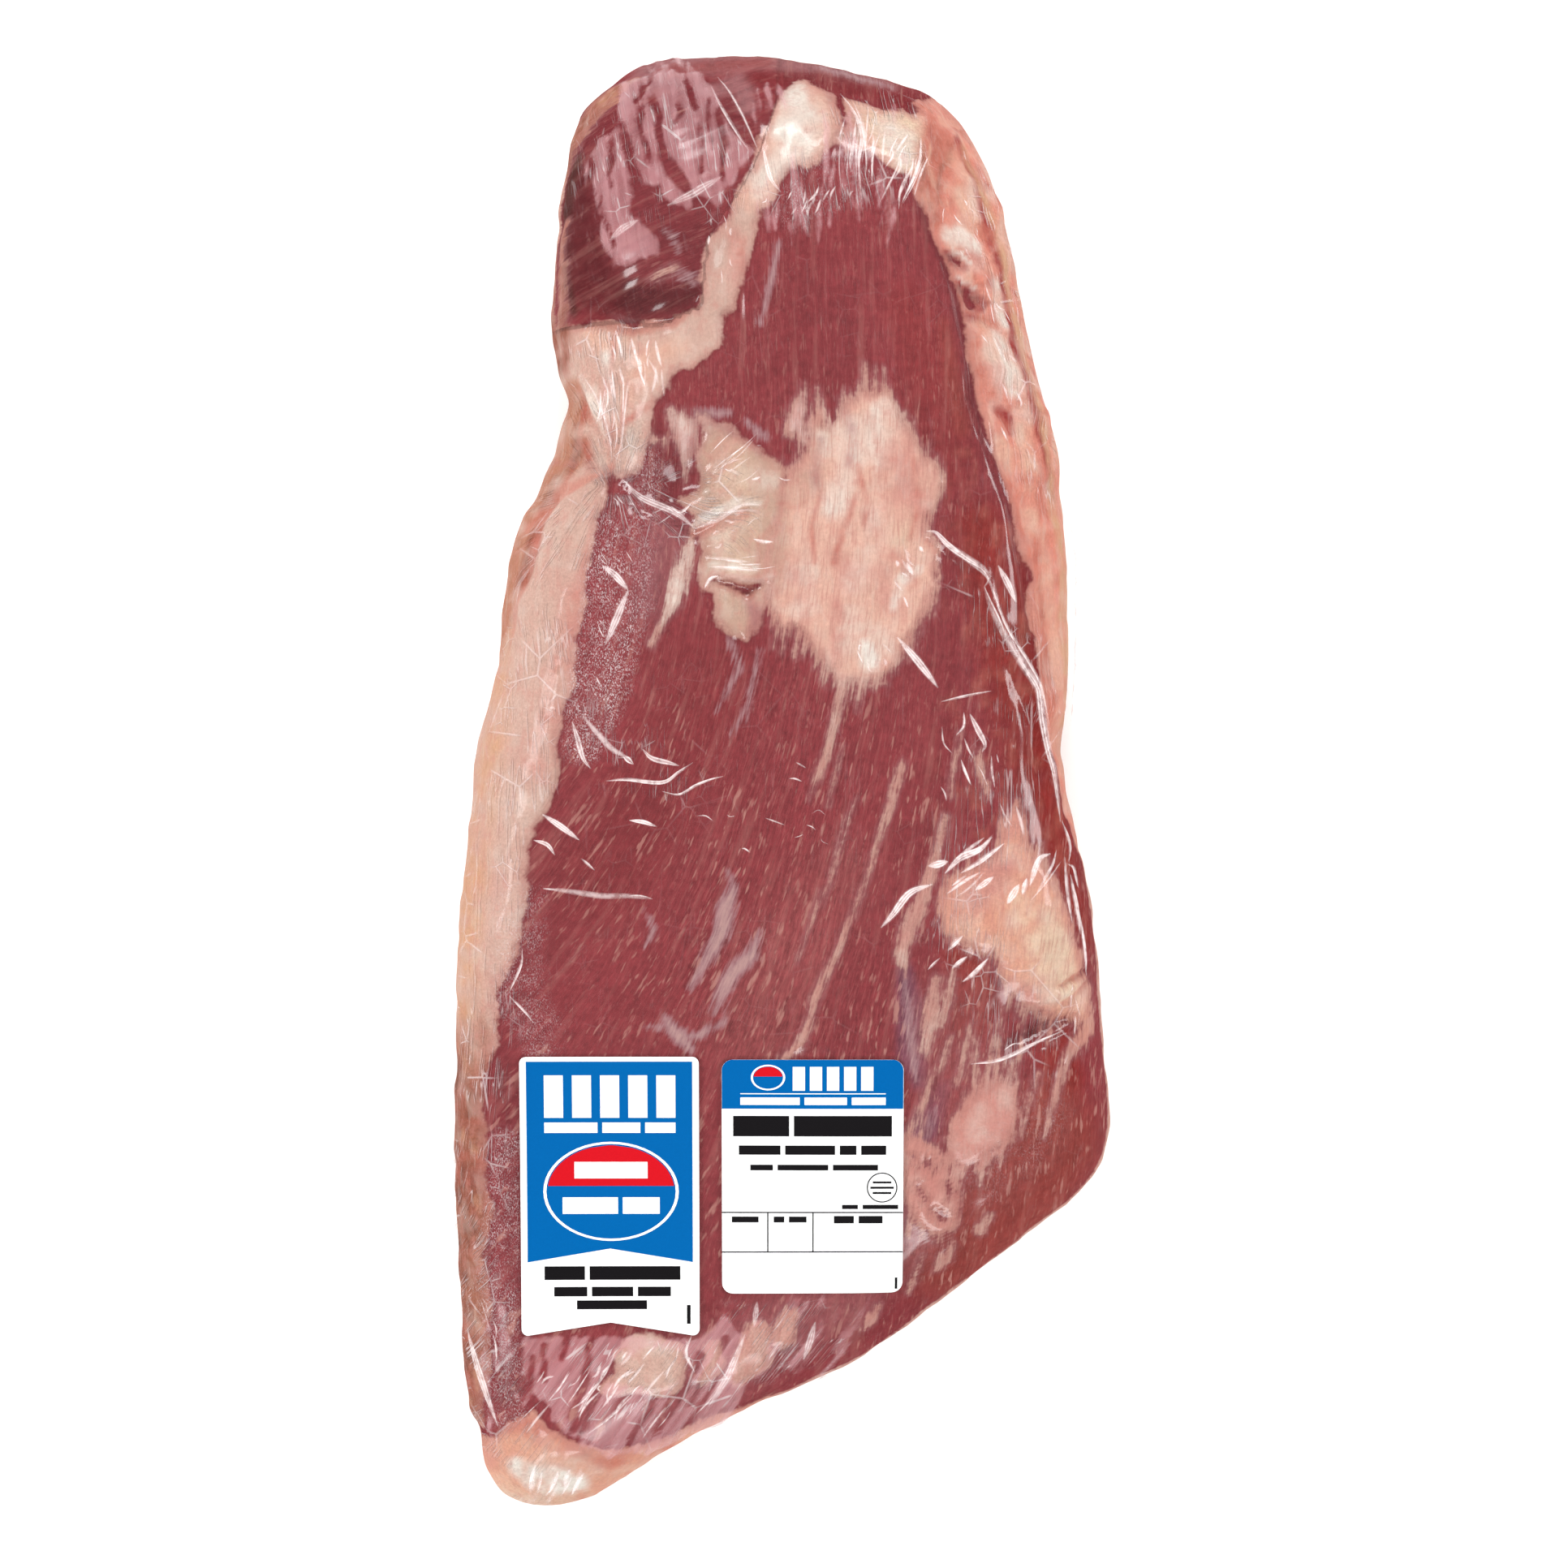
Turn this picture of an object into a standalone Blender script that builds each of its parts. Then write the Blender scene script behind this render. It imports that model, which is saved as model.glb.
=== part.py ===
"""A whole raw beef brisket, sealed in a tight clear bag, with two paper labels stuck on it.

It lies on its fat cap with the lean side up. +X runs across it, +Y runs along it towards the
thick point end, and +Z is up. The origin is at the middle of the floor that it lies on.

The meat is a loft: slices across the length, each between the left and the right edge of one
outline. A slice's upper and lower skins are heights over the floor. Both bend down to a rim at
the outline, over a roll whose width changes from edge to edge. Mounds and valleys shape the lean
side. The bag clings to the meat, so the two are one solid here.
"""

import math

import bmesh
import bpy
import numpy as np

MM = 0.001

# Driving dimensions, in millimetres.
LENGTH = 492.0
POINT_HEIGHT = 96.0
FLAT_HEIGHT = 40.0
LABEL_GAP = 0.5
LABEL_THICKNESS = 0.3

# The outline seen from above, in millimetres: down the left edge from the point end's tip to the
# flat end's tip, then up the right edge.
POINT_TIP = (-12.0, LENGTH / 2)
LEFT_EDGE = [
    (-36.0, 244.6), (-50.0, 241.0), (-60.0, 233.5), (-68.5, 223.5), (-71.5, 208.0),
    (-75.0, 188.0), (-77.2, 165.0), (-76.8, 147.0), (-74.0, 133.0), (-75.5, 115.0),
    (-79.5, 101.0), (-89.0, 81.0), (-93.0, 58.0), (-95.5, 37.0), (-102.5, 14.0),
    (-104.5, -15.0), (-108.3, -55.0), (-110.0, -117.0), (-109.2, -160.0),
    (-107.5, -196.0), (-104.0, -218.0), (-99.5, -236.0), (-92.0, -243.0),
]
FLAT_TIP = (-79.0, -LENGTH / 2)
RIGHT_EDGE = [
    (-66.0, -242.8), (-55.0, -236.3), (-41.0, -227.0), (-20.0, -216.0), (6.0, -205.0),
    (27.5, -194.0), (58.0, -172.0), (85.0, -150.0), (98.0, -139.0), (106.5, -128.0),
    (110.0, -115.0), (109.0, -98.0), (106.5, -75.0), (104.5, -52.0), (100.0, -18.0),
    (95.5, 3.0), (98.5, 25.0), (99.5, 55.0), (98.5, 83.0), (93.0, 114.0),
    (86.0, 138.0), (79.0, 170.0), (72.5, 199.0), (66.5, 214.0), (60.0, 224.0),
    (49.0, 232.0), (32.0, 238.0), (10.0, 243.5),
]

# Height of the lean side along the length, and how far in from the outline each edge rolls over:
# (y, value) pairs in millimetres.
HEIGHT = [(-246, FLAT_HEIGHT - 4), (-200, FLAT_HEIGHT + 4), (-120, 58), (-40, 74), (40, 86),
          (120, 95), (170, POINT_HEIGHT), (215, 92), (246, 84)]
LEFT_ROLL = [(-246, 26), (-160, 17), (-40, 22), (60, 32), (150, 38), (246, 46)]
RIGHT_ROLL = [(-246, 26), (-170, 24), (-90, 22), (0, 17), (90, 26), (190, 30), (246, 46)]
RIM_SHARE = 0.38
BOTTOM_ROLL = 17.0

SLICES = 58
TOP_STEPS = 26
BOTTOM_STEPS = 18
CURVE_STEPS = 12


def smooth_loop(points):
    """A closed Catmull-Rom curve through the points, with CURVE_STEPS places between each two."""
    control = np.array(points, float)
    before, after, beyond = (np.roll(control, shift, axis=0) for shift in (1, -1, -2))
    t = (np.arange(CURVE_STEPS) / CURVE_STEPS)[None, :, None]
    a, b, c, d = (p[:, None, :] for p in (before, control, after, beyond))
    curve = 0.5 * (
        2 * b + (c - a) * t + (2 * a - 5 * b + 4 * c - d) * t**2
        + (3 * b - a - 3 * c + d) * t**3
    )
    return curve.reshape(-1, 2)


OUTLINE = smooth_loop([POINT_TIP, *LEFT_EDGE, FLAT_TIP, *RIGHT_EDGE])
FLAT_TIP_AT = (len(LEFT_EDGE) + 1) * CURVE_STEPS
LEFT = OUTLINE[: FLAT_TIP_AT + 1][::-1]
RIGHT = np.vstack([OUTLINE[FLAT_TIP_AT:], OUTLINE[:1]])


def along(pairs, y):
    """The value at y of (y, value) pairs, eased between them."""
    ys, values = np.array(pairs, float).T
    fine = np.linspace(ys[0], ys[-1], 200)
    eased = np.convolve(np.pad(np.interp(fine, ys, values), 8, mode="edge"), np.ones(17) / 17, "valid")
    return np.interp(y, fine, eased)


def edges_at(y):
    """The left and right ends of the slice at y."""
    return np.interp(y, LEFT[:, 1], LEFT[:, 0]), np.interp(y, RIGHT[:, 1], RIGHT[:, 0])


def inside(x, y):
    """How far each place is from the outline."""
    ends = np.roll(OUTLINE, -1, axis=0)
    run = ends - OUTLINE
    place = np.stack([x, y], -1)[..., None, :]
    share = ((place - OUTLINE) * run).sum(-1) / (run * run).sum(-1)
    nearest = OUTLINE + np.clip(share, 0, 1)[..., None] * run
    return np.sqrt(((place - nearest) ** 2).sum(-1)).min(-1)


def rolled(share):
    """A quarter round: 0 at the outline, 1 and level from one roll inwards."""
    return np.sqrt(1 - (1 - np.clip(share, 0, 1)) ** 2)


def mound(x, y, at, reach, height):
    """A soft round rise of that height, or a hollow if it is negative."""
    return height * np.exp(-(((x - at[0]) / reach[0]) ** 2) - ((y - at[1]) / reach[1]) ** 2)


def valley(x, y, start, end, width, depths):
    """A furrow along a straight run, from one depth at its start to the other at its end."""
    run = (end[0] - start[0], end[1] - start[1])
    share = ((x - start[0]) * run[0] + (y - start[1]) * run[1]) / (run[0] ** 2 + run[1] ** 2)
    held = np.clip(share, 0, 1)
    off = np.hypot(x - start[0] - held * run[0], y - start[1] - held * run[1])
    return -(depths[0] + (depths[1] - depths[0]) * held) * np.exp(-((off / width) ** 2))


def relief(x, y):
    """The rises and furrows of the lean side, over its even height."""
    point_muscle = mound(x, y, (-42, 190), (34, 40), 4.5)
    fat_kernel = mound(x, y, (18, 86), (40, 44), 4.0)
    edge_fat = mound(x, y, (76, -48), (24, 26), 3.5)
    seam = valley(x, y, (-74, 148), (-22, 150), 9, (3.5, 2.5))
    seam += valley(x, y, (-20, 156), (-8, 205), 9, (2.5, 3))
    pinch = valley(x, y, (-80, 110), (-36, 98), 9, (13, 3))
    pinch += valley(x, y, (-36, 98), (-24, 76), 7, (3, 1.5))
    edge_fold = valley(x, y, (112, -72), (74, -84), 6, (8, 2))
    diagonal_dip = mound(x, y, (30, -168), (44, 22), -3.0)
    swell = 1.4 * np.sin(x / 31 + y / 47) * np.cos(y / 38 - x / 60)
    return point_muscle + fat_kernel + edge_fat + seam + pinch + edge_fold + diagonal_dip + swell


def side_shelf(x, y, depth_in):
    """The fat of the right side lies lower than the lean's edge, down to where the two meet."""
    span = np.clip((y + 5) / 60, 0, 1) * np.clip((236 - y) / 40, 0, 1)
    ledge = np.exp(-(((depth_in - 10) / 8) ** 2))
    return -9.0 * span * ledge * (x > 20)


def roll_at(x, y):
    """The roll's width at each place, blended from the left edge's to the right edge's."""
    left, right = edges_at(y)
    share = np.clip((x - left) / np.maximum(right - left, 1e-6), 0, 1)
    share = share * share * (3 - 2 * share)
    return along(LEFT_ROLL, y) * (1 - share) + along(RIGHT_ROLL, y) * share


def skins(x, y):
    """The heights of the upper and the lower skin."""
    depth_in = inside(x, y)
    height = along(HEIGHT, y)
    rim = RIM_SHARE * height
    rise = rolled(depth_in / roll_at(x, y))
    upper = rim + (height + relief(x, y) - rim) * rise + side_shelf(x, y, depth_in) * rise
    lower = rim * (1 - rolled(depth_in / BOTTOM_ROLL))
    return upper, lower


def slice_places():
    """The slices' y, closer together where the outline runs across, so that the ends stay round."""
    y = np.linspace(FLAT_TIP[1], POINT_TIP[1], 4001)
    left, right = edges_at(y)
    steps = np.hypot(np.diff(y), np.maximum(abs(np.diff(left)), abs(np.diff(right))))
    run = np.concatenate([[0], np.cumsum(steps)])
    return np.interp(np.linspace(0, run[-1], SLICES + 2)[1:-1], run, y)


def slice_points(y):
    """One slice's ring: over the lean side from left to right, and back under the fat cap."""
    left, right = edges_at(y)
    middle, half = (left + right) / 2, (right - left) / 2
    over = middle - half * np.cos(np.pi * np.arange(TOP_STEPS + 1) / TOP_STEPS)
    under = middle + half * np.cos(np.pi * np.arange(1, BOTTOM_STEPS) / BOTTOM_STEPS)
    upper, _ = skins(over, np.full_like(over, y))
    _, lower = skins(under, np.full_like(under, y))
    x = np.concatenate([over, under])
    z = np.concatenate([upper, lower])
    return np.stack([x, np.full_like(x, y), z], -1)


def tip_point(tip):
    """Where the two skins meet at an end of the outline."""
    return tip[0], tip[1], RIM_SHARE * float(along(HEIGHT, tip[1]))


def plain_material(name, colour, roughness):
    material = bpy.data.materials.new(name)
    material.use_nodes = True
    shader = material.node_tree.nodes["Principled BSDF"]
    shader.inputs["Base Color"].default_value = (*colour, 1)
    shader.inputs["Roughness"].default_value = roughness
    shader.inputs["Metallic"].default_value = 0.0
    return material


def object_of(name, bm, material, collection):
    mesh = bpy.data.meshes.new(name)
    bm.to_mesh(mesh)
    bm.free()
    mesh.materials.append(material)
    made = bpy.data.objects.new(name, mesh)
    collection.objects.link(made)
    return made


def make_brisket(collection):
    """The meat in its clinging bag: the slices joined ring to ring, closed at the two tips."""
    bm = bmesh.new()
    rings = [
        [bm.verts.new(point * MM) for point in slice_points(y)] for y in slice_places()
    ]
    count = len(rings[0])
    for near, far in zip(rings, rings[1:]):
        for i in range(count):
            j = (i + 1) % count
            bm.faces.new((near[i], near[j], far[j], far[i]))
    for tip, ring in ((FLAT_TIP, rings[0]), (POINT_TIP, rings[-1])):
        pole = bm.verts.new([value * MM for value in tip_point(tip)])
        for i in range(count):
            bm.faces.new((pole, ring[i], ring[(i + 1) % count]))
    bmesh.ops.recalc_face_normals(bm, faces=bm.faces)
    colour = plain_material("meat_in_film", (0.36, 0.085, 0.095), 0.35)
    brisket = object_of("brisket", bm, colour, collection)
    brisket.data.shade_smooth()
    return brisket


def label_rows(length, radius, steps):
    """Shares of the length for the rows: three inside each rounded corner, and even ones between."""
    corner = radius / length * (1 - np.cos(np.radians([0, 30, 60, 90])))
    return np.concatenate([corner, np.linspace(corner[-1], 1 - corner[-1], steps)[1:-1], 1 - corner[::-1]])


def make_label(name, centre, size, radius, notch, material, brisket, collection):
    """A paper label with round corners, laid on the lean side. A notch cuts its lower edge into a V."""
    columns, steps = 11, 12
    width, length = size
    bm = bmesh.new()
    rows = []
    for share in label_rows(length, radius, steps):
        from_end = min(share, 1 - share) * length
        inset = radius - math.sqrt(max(0.0, radius**2 - max(0.0, radius - from_end) ** 2))
        row = []
        for column in range(columns):
            across = 2 * column / (columns - 1) - 1
            drop = share * (length - notch * (1 - abs(across)))
            x = centre[0] + across * (width / 2 - inset)
            row.append(bm.verts.new((x * MM, (centre[1] + length / 2 - drop) * MM, 2 * POINT_HEIGHT * MM)))
        rows.append(row)
    for upper, lower in zip(rows, rows[1:]):
        for i in range(columns - 1):
            bm.faces.new((upper[i], lower[i], lower[i + 1], upper[i + 1]))
    label = object_of(name, bm, material, collection)
    lay = label.modifiers.new("lay_on_film", "SHRINKWRAP")
    lay.target = brisket
    lay.wrap_method = "PROJECT"
    lay.use_project_z = True
    lay.use_negative_direction = True
    lay.use_positive_direction = False
    lay.offset = LABEL_GAP * MM
    paper = label.modifiers.new("paper", "SOLIDIFY")
    paper.thickness = LABEL_THICKNESS * MM
    paper.offset = 1.0
    return label


def main():
    for obj in list(bpy.data.objects):
        bpy.data.objects.remove(obj)
    collection = bpy.data.collections.new("vacuum_packed_brisket")
    bpy.context.scene.collection.children.link(collection)
    brisket = make_brisket(collection)
    paper = plain_material("label_paper", (0.85, 0.86, 0.88), 0.5)
    make_label("grade_label", (-58.1, -137.7), (59.6, 94.3), 2.2, 4.4, paper, brisket, collection)
    make_label("price_label", (9.5, -131.0), (60.4, 79.1), 3.6, 0.0, paper, brisket, collection)


main()
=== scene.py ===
"""The looks of a whole raw beef brisket in a clinging clear bag, with two printed paper labels.

All shapes are worked out in millimetres, in the frame of the CAD parts: +X across, +Y along the
brisket towards the thick point end, +Z up. The meat and the bag are closed skins that follow the
CAD solid's own slices. Patches of fat, tints and the way the fibres run are painted on the skins
as attributes, and the materials give them their fine edges. Creases of the bag are arched strips
that lie along drawn paths, and each label is a thin sheet of paper with raised plates of ink.
"""

import bpy
import numpy as np
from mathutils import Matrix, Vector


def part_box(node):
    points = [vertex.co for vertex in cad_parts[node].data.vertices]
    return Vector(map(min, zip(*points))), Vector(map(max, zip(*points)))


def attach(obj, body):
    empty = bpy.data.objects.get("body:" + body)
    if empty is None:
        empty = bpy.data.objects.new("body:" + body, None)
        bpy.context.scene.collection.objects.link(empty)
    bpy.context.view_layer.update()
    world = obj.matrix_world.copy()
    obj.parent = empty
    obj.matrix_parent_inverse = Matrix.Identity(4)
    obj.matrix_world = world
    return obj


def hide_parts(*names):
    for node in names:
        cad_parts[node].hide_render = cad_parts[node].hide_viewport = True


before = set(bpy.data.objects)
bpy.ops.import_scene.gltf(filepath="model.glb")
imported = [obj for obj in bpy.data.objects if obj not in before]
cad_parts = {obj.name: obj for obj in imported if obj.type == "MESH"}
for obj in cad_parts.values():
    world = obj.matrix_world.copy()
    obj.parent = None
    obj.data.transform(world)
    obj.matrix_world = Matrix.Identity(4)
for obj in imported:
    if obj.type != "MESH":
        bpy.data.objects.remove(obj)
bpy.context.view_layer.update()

MM = 0.001

# The grid of the skins: slices along the brisket, steps over the lean side and under the fat cap.
SLICES = 376
OVER = 230
UNDER = 34
# How much the steps over the lean side are evened out, and how closely slices follow the tips.
MIDDLE_STEPS = 0.12
TIP_CARE = 0.35
# The CAD solid's own steps over and under, and the least gap between its slices.
CAD_OVER = 26
CAD_UNDER = 18
RING_GAP = 0.05

# The bag's distance off the meat, and the lowest that each skin reaches.
FILM_GAP = 0.45
MEAT_FOOT = 0.4
FILM_FOOT = 0.05

# The labels: how far off the brisket they lie, and how thick the paper and its ink are.
LABEL_LIFT = 0.3
PAPER = 0.25
INK = 0.04


# ---- the CAD solid's slices

def between(rows, at):
    """Catmull-Rom values of a table's rows at fractional row numbers, straight past the ends."""
    first = np.clip(np.floor(at).astype(int), 0, len(rows) - 2)
    t = (at - first).reshape(-1, *[1] * (rows.ndim - 1))
    padded = np.concatenate([2 * rows[:1] - rows[1:2], rows, 2 * rows[-1:] - rows[-2:-1]])
    a, b, c, d = (padded[first + shift] for shift in range(4))
    return 0.5 * (
        2 * b + (c - a) * t + (2 * a - 5 * b + 4 * c - d) * t**2 + (3 * b - a - 3 * c + d) * t**3
    )


def arc_steps(left, right, steps):
    """Places from left to right, closer together at both ends: middle - half * cos(pi * share)."""
    return (left + right) / 2 - (right - left) / 2 * np.cos(np.pi * np.arange(steps + 1) / steps)


def cad_slices():
    """One row for each slice of the CAD solid: y, left x, right x, then the heights over and under.

    The solid's points, sorted by y, fall into rings. A ring's outermost points are its rim, the
    points above the rim are the lean side and the points below it are the fat cap.
    """
    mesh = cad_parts["brisket"].data
    points = np.empty(3 * len(mesh.vertices))
    mesh.vertices.foreach_get("co", points)
    points = points.reshape(-1, 3) / MM
    points = points[np.argsort(points[:, 1])]
    rows = []
    for ring in np.split(points, np.flatnonzero(np.diff(points[:, 1]) > RING_GAP) + 1):
        ring = ring[np.argsort(ring[:, 0])]
        left, right, rim = ring[0, 0], ring[-1, 0], ring[0, 2]
        over = ring[ring[:, 2] > rim - RING_GAP]
        under = ring[ring[:, 2] < rim + RING_GAP]
        rows.append(np.concatenate([
            [ring[:, 1].mean(), left, right],
            np.interp(arc_steps(left, right, CAD_OVER), over[:, 0], over[:, 2]),
            np.interp(arc_steps(left, right, CAD_UNDER), under[:, 0], under[:, 2]),
        ]))
    return np.array(rows)


def turned(row):
    """The same slice met from the other side of a tip: left and right change places."""
    over = row[3 : 4 + CAD_OVER][::-1]
    under = row[4 + CAD_OVER :][::-1]
    return np.concatenate([[row[0], row[2], row[1]], over, under])[None]


def fine_slices(rows):
    """SLICES + 1 smooth slices from tip to tip, closer together where the outline runs across."""
    whole = np.concatenate([turned(rows[1]), rows, turned(rows[-2])])
    dense_at = np.linspace(1, len(rows), 6001)
    dense = between(whole, dense_at)
    steps = np.abs(np.diff(dense[:, :3], axis=0))
    run = np.concatenate([[0], np.cumsum(np.hypot(steps[:, 0], TIP_CARE * steps[:, 1:].max(1)))])
    return between(whole, np.interp(np.linspace(0, run[-1], SLICES + 1), run, dense_at))


def over_angles():
    """The angles of the steps over the lean side, evened out in the middle."""
    share = np.arange(OVER + 1) / OVER
    return np.pi * share + np.pi * MIDDLE_STEPS * np.sin(2 * np.pi * share)


def skin_grid(rows):
    """Rings of points: over the lean side from left to right, and back under the fat cap."""
    y, left, right = (rows[1:-1, i][:, None] for i in range(3))
    middle, half = (left + right) / 2, (right - left) / 2
    angle_over = over_angles()
    angle_under = np.pi * np.arange(UNDER - 1, 0, -1) / UNDER
    z_over = between(rows[1:-1, 3 : 4 + CAD_OVER].T, angle_over / np.pi * CAD_OVER).T
    z_under = between(rows[1:-1, 4 + CAD_OVER :].T, angle_under / np.pi * CAD_UNDER).T
    x = middle - half * np.cos(np.concatenate([angle_over, angle_under]))
    z = np.concatenate([z_over, z_under], 1)
    return np.stack([x, np.broadcast_to(y, x.shape), z], -1)


def outward(grid):
    """Unit normals of a grid of rings, from the steps along and across it."""
    along = np.gradient(grid, axis=0)
    around = np.roll(grid, -1, axis=1) - np.roll(grid, 1, axis=1)
    normal = np.cross(around, along)
    return normal / np.maximum(np.linalg.norm(normal, axis=-1, keepdims=True), 1e-9)


ROWS = fine_slices(cad_slices())
SKIN = skin_grid(ROWS)
NORMAL = outward(SKIN)
LEAN_SIDE = np.arange(SKIN.shape[1]) <= OVER
X, Y, Z = SKIN[..., 0], SKIN[..., 1], SKIN[..., 2]
RIM = np.broadcast_to(Z[:, :1], Z.shape)


def height(x, y, surface=Z):
    """The height of the lean side over x and y, from the grid's four nearest points."""
    row = np.interp(y, ROWS[1:-1, 0], np.arange(len(SKIN)))
    left, right = (np.interp(y, ROWS[:, 0], ROWS[:, i]) for i in (1, 2))
    share = np.clip((x - (left + right) / 2) / ((right - left) / 2), -1, 1)
    step = np.interp(share, -np.cos(over_angles()), np.arange(OVER + 1))
    i = np.clip(row.astype(int), 0, len(SKIN) - 2)
    j = np.clip(step.astype(int), 0, OVER - 1)
    u, v = row - i, step - j
    low = surface[i, j] * (1 - v) + surface[i, j + 1] * v
    high = surface[i + 1, j] * (1 - v) + surface[i + 1, j + 1] * v
    return low * (1 - u) + high * u


# ---- ways to paint and to shape

# How far from an outline or a stroke distances are still worked out.
FAR = 30.0
# The corners of a cloud's lattice, and a shift in cells that keeps every cell above 0.
LATTICE = 97
CLOUD_SHIFT = 1000.5


def ease(value, low, high):
    """0 below low, 1 above high, and smooth between."""
    share = np.clip((value - low) / (high - low), 0, 1)
    return share * share * (3 - 2 * share)


def cloud(x, y, cell, seed):
    """Smooth random values from -1 to 1: a lattice of seeded numbers, eased between its corners."""
    corners = np.random.default_rng(seed).uniform(-1, 1, (LATTICE, LATTICE))
    column, row = x / cell + CLOUD_SHIFT, y / cell + CLOUD_SHIFT
    i, j = np.floor(column).astype(int), np.floor(row).astype(int)
    u, v = ease(column - i, 0, 1), ease(row - j, 0, 1)
    a, b, c, d = (
        corners[(i + p) % LATTICE, (j + q) % LATTICE] for p, q in ((0, 0), (1, 0), (0, 1), (1, 1))
    )
    return (a * (1 - u) + b * u) * (1 - v) + (c * (1 - u) + d * u) * v


def nearby(x, y, points, margin):
    """Where a place is within the margin of the box round the points."""
    low, high = points[:, :2].min(0) - margin, points[:, :2].max(0) + margin
    return (x > low[0]) & (x < high[0]) & (y > low[1]) & (y < high[1])


def from_line(x, y, start, end):
    """The distance of each place from a straight line, and the share of the line it is beside."""
    run = end[:2] - start[:2]
    share = np.clip(((x - start[0]) * run[0] + (y - start[1]) * run[1]) / (run @ run), 0, 1)
    return np.hypot(x - start[0] - share * run[0], y - start[1] - share * run[1]), share


def stroke(x, y, points):
    """How far inside a brush stroke each place is: its half width there, less the distance."""
    points = np.array(points, float)
    inside = np.full(x.shape, -FAR)
    near = nearby(x, y, points, FAR)
    px, py = x[near], y[near]
    best = np.full(px.shape, -FAR)
    for start, end in zip(points, points[1:]):
        off, share = from_line(px, py, start, end)
        best = np.maximum(best, start[2] + (end[2] - start[2]) * share - off)
    inside[near] = best
    return inside


def strokes(x, y, many):
    """How far inside the nearest of many strokes each place is."""
    return np.max([stroke(x, y, points) for points in many], axis=0)


def patch(x, y, outline):
    """How far inside a closed outline each place is, negative outside it."""
    points = np.array(outline, float)
    inside = np.full(x.shape, -FAR)
    near = nearby(x, y, points, FAR)
    px, py = x[near], y[near]
    off = np.full(px.shape, FAR)
    within = np.zeros(px.shape, bool)
    for start, end in zip(points, np.roll(points, -1, axis=0)):
        off = np.minimum(off, from_line(px, py, start, end)[0])
        if start[1] != end[1]:
            crossing = start[0] + (py - start[1]) * (end[0] - start[0]) / (end[1] - start[1])
            within ^= ((start[1] > py) != (end[1] > py)) & (px < crossing)
    inside[near] = np.where(within, off, -off)
    return inside


def smooth_path(points):
    """A Catmull-Rom curve through the points, with a place about every mm."""
    points = np.array(points, float)
    dense_at = np.linspace(0, len(points) - 1, 24 * len(points))
    dense = between(points, dense_at)
    run = np.concatenate([[0], np.cumsum(np.linalg.norm(np.diff(dense[:, :2], axis=0), axis=1))])
    count = max(int(run[-1]), 6)
    return between(points, np.interp(np.linspace(0, run[-1], count + 1), run, dense_at))


# ---- colours

def srgb(red, green, blue):
    """A colour given as a screen shows it, from 0 to 255, as the linear one that shaders take."""
    share = np.array([red, green, blue]) / 255
    return np.where(share <= 0.04045, share / 12.92, ((share + 0.055) / 1.055) ** 2.4)


# The soft lights are bright, so the meat's own colours are darker by this much.
MEAT_SHADE = 0.62

TONES = {
    name: MEAT_SHADE * srgb(*colour)
    for name, colour in {
        "lean": (152, 62, 67), "wine": (128, 50, 56), "garnet": (152, 50, 45),
        "rose_lean": (166, 86, 86), "warm_lean": (160, 72, 64), "umber": (84, 44, 38),
        "mauve": (172, 112, 114), "cherry": (140, 50, 54), "peach": (241, 190, 170),
        "beige": (210, 170, 150), "cream": (248, 228, 214), "butter": (246, 214, 186),
        "shell": (223, 182, 166), "blush": (219, 150, 138), "rose": (206, 122, 108),
        "blood": (170, 66, 64), "tan": (198, 136, 110), "brown": (162, 98, 80),
        # The ivory tone is a painted highlight that stands for light glinting on the fat. It is not
        # a colour of the fat.
        "honey": (226, 172, 138), "painted_highlight": (255, 244, 232), "salmon": (238, 150, 130),
        "apricot": (243, 188, 164), "coral": (216, 128, 110), "sienna": (194, 110, 94),
        "nectar": (238, 174, 148), "maroon": (98, 36, 40), "pearl": (226, 186, 178),
        "violet": (132, 80, 100), "silver": (190, 148, 152), "fleck": (214, 152, 140),
        "rim": (208, 138, 128),
    }.items()
}


def tinted(colour, *layers):
    """A field of colour with named tones laid over it, each as strongly as its amount, 0 to 1."""
    for tone, amount in layers:
        colour = colour + (TONES[tone] - colour) * np.clip(amount, 0, 1)[..., None]
    return colour


# ---- where the fat lies

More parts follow.
